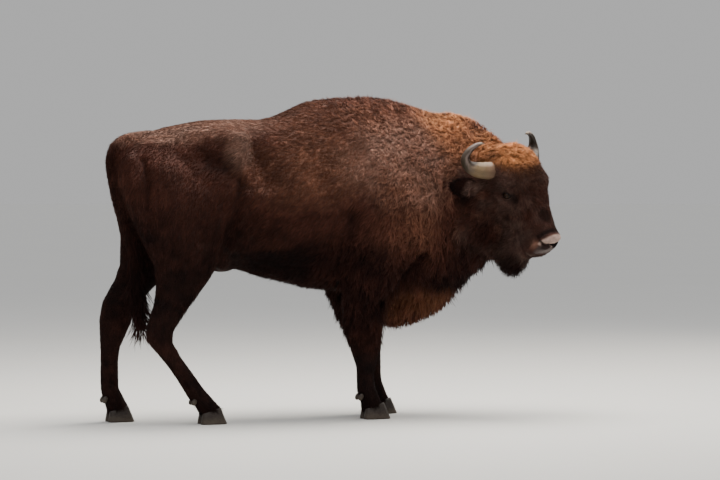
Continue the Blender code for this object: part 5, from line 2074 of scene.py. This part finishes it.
@dataclass(frozen=True)
class EyeFinish:
    """The finish of an eyeball: dark brown iris, level pupil, wet all over."""

    iris: Colour = colour(0.012, 0.006, 0.003)
    rim: Colour = colour(0.006, 0.004, 0.003)
    white: Colour = colour(0.016, 0.010, 0.008)
    fibre: Colour = colour(0.035, 0.016, 0.008)
    pupil: Colour = colour(0.002, 0.002, 0.003)

    def build(self) -> Material:
        """Makes the material.

        Returns:
            The material.
        """
        made = Finish("eye", 0.08, Specular_IOR_Level=0.08, Coat_Weight=0.03, Coat_Roughness=0.02)
        n = made.nodes
        gaze = made.read("gaze", "Vector")
        x, y, _ = n.parts(gaze)
        across, upright = (n.math("POWER", n.math("ABSOLUTE", part), 2.0) for part in (x, y))
        ring = n.math("SQRT", n.math("ADD", across, upright))
        oval = n.math("SQRT", n.math("ADD", n.times(across, 0.35), upright))
        ray = n.add("ShaderNodeVectorMath", {0: gaze}, operation="NORMALIZE").outputs[0]
        fibres = n.noise(ray, 14.0, 3.0)
        shade = n.mix(n.fit(fibres, 0.3, 0.7, 0.0, 0.6), self.iris, self.fibre)
        shade = n.mix(n.fit(ring, 0.60, 0.74), shade, self.rim)
        shade = n.mix(n.fit(ring, 0.84, 0.90), shade, self.white)
        shade = n.mix(n.fit(oval, 0.13, 0.17, 1.0, 0.0), shade, self.pupil)
        made.link(shade, "Base Color")
        return made.material


# ---------------- the studio
@dataclass(frozen=True)
class SoftBox:
    """A square light that looks at the middle of the animal."""

    name: str
    place: Place
    size: float
    power: float
    tint: Place
    aim: Place = (0.0, 0.0, 0.9)

    def hang(self) -> None:
        """Puts the light in the scene."""
        data = bpy.data.lights.new(self.name, "AREA")
        data.shape = "SQUARE"
        data.size = self.size
        data.energy = self.power
        data.color = self.tint
        lamp = put(self.name, data)
        lamp.location = self.place
        way = Vector(self.aim) - lamp.location
        lamp.rotation_euler = way.to_track_quat("-Z", "Y").to_euler()


@dataclass
class Studio:
    """A pale floor, soft lights and the camera."""

    horizon: Colour = colour(0.50, 0.50, 0.50)
    shade: Colour = colour(0.16, 0.16, 0.17)
    zenith: Colour = colour(1.60, 1.60, 1.62)
    floor_colours: ClassVar[tuple[Colour, Colour]] = (colour(0.48, 0.48, 0.465),
                                                      colour(0.50, 0.50, 0.485))
    floor_radius: float = 60.0
    boxes: ClassVar[tuple[SoftBox, ...]] = (
        SoftBox("overhead", (0.7, 0.3, 4.8), 3.0, 620.0, (1.0, 0.94, 0.86)),
        SoftBox("side", (-2.5, -6.5, 4.2), 3.0, 120.0, (1.0, 0.97, 0.93)),
        SoftBox("rim", (5.0, 3.0, 4.2), 2.5, 200.0, (1.0, 0.90, 0.78)),
    )
    lens: float = 148.8
    distance: float = 15.0
    sideways: float = 0.1512
    height: float = 1.35
    azimuth: float = math.radians(20)
    pitch: float = math.radians(1.733)
    origin: ClassVar[Array] = np.array((0.035, 0.0735, 0.0))

    def build(self) -> None:
        """Sets the scene round the animal."""
        self.floor()
        self.world()
        for box in self.boxes:
            box.hang()
        self.camera()

    def floor(self) -> None:
        """A plain pale floor."""
        form = bmesh.new()
        bmesh.ops.create_circle(form, cap_ends=True, segments=128, radius=self.floor_radius)
        mesh = mesh_from_form("floor", form)
        floor = put("floor", mesh)
        made = Finish("floor", 0.9, Specular_IOR_Level=0.1)
        n = made.nodes
        cloud = n.noise(n.add("ShaderNodeTexCoord").outputs["Object"], 0.8, 2.0)
        made.link(n.mix(cloud, *self.floor_colours), "Base Color")
        mesh.materials.append(made.material)

    def world(self) -> None:
        """Light from all round: pale at and below the horizon, dim just above it and bright
        overhead.
        """
        world = bpy.data.worlds.new("studio")
        world.use_nodes = True
        n = Nodes(world.node_tree)
        _, _, height = n.parts(n.add("ShaderNodeTexCoord").outputs["Generated"])
        dome = n.mix(n.fit(height, 0.10, 0.20), self.horizon, self.shade)
        dome = n.mix(n.fit(height, 0.30, 0.95), dome, self.zenith)
        back = world.node_tree.nodes["Background"]
        n.tree.links.new(dome, back.inputs["Color"])
        bpy.context.scene.world = world

    def camera(self) -> None:
        """The camera, low and far, a little ahead of the animal's flank."""
        view = np.array((math.sin(self.azimuth), math.cos(self.azimuth), 0.0))
        right = np.array((math.cos(self.azimuth), -math.sin(self.azimuth), 0.0))
        place = self.origin - self.distance * view + self.sideways * right
        data = bpy.data.cameras.new("camera")
        data.lens = self.lens
        data.sensor_width = 36.0
        camera = put("camera", data)
        camera.location = place + np.array((0, 0, self.height))
        aim = Vector(view * math.cos(self.pitch)) - Vector((0, 0, math.sin(self.pitch)))
        camera.rotation_euler = aim.to_track_quat("-Z", "Y").to_euler()
        bpy.context.scene.camera = camera


def main() -> None:
    """Builds the wisent and the studio round it."""
    logging.basicConfig(level=logging.INFO, format="%(name)s %(message)s", stream=sys.stdout)
    markings = Markings().group()
    skin = Skin()
    skin.build()
    skin.dress(SkinFinish().build(markings))
    Eyes().build(EyeFinish().build())
    Horns().build(HornFinish().build())
    Feet().build(HoofFinish().build())
    Coat(skin).grow(HairFinish().build(markings))
    Studio().build()


if __name__ == "__main__":
    main()
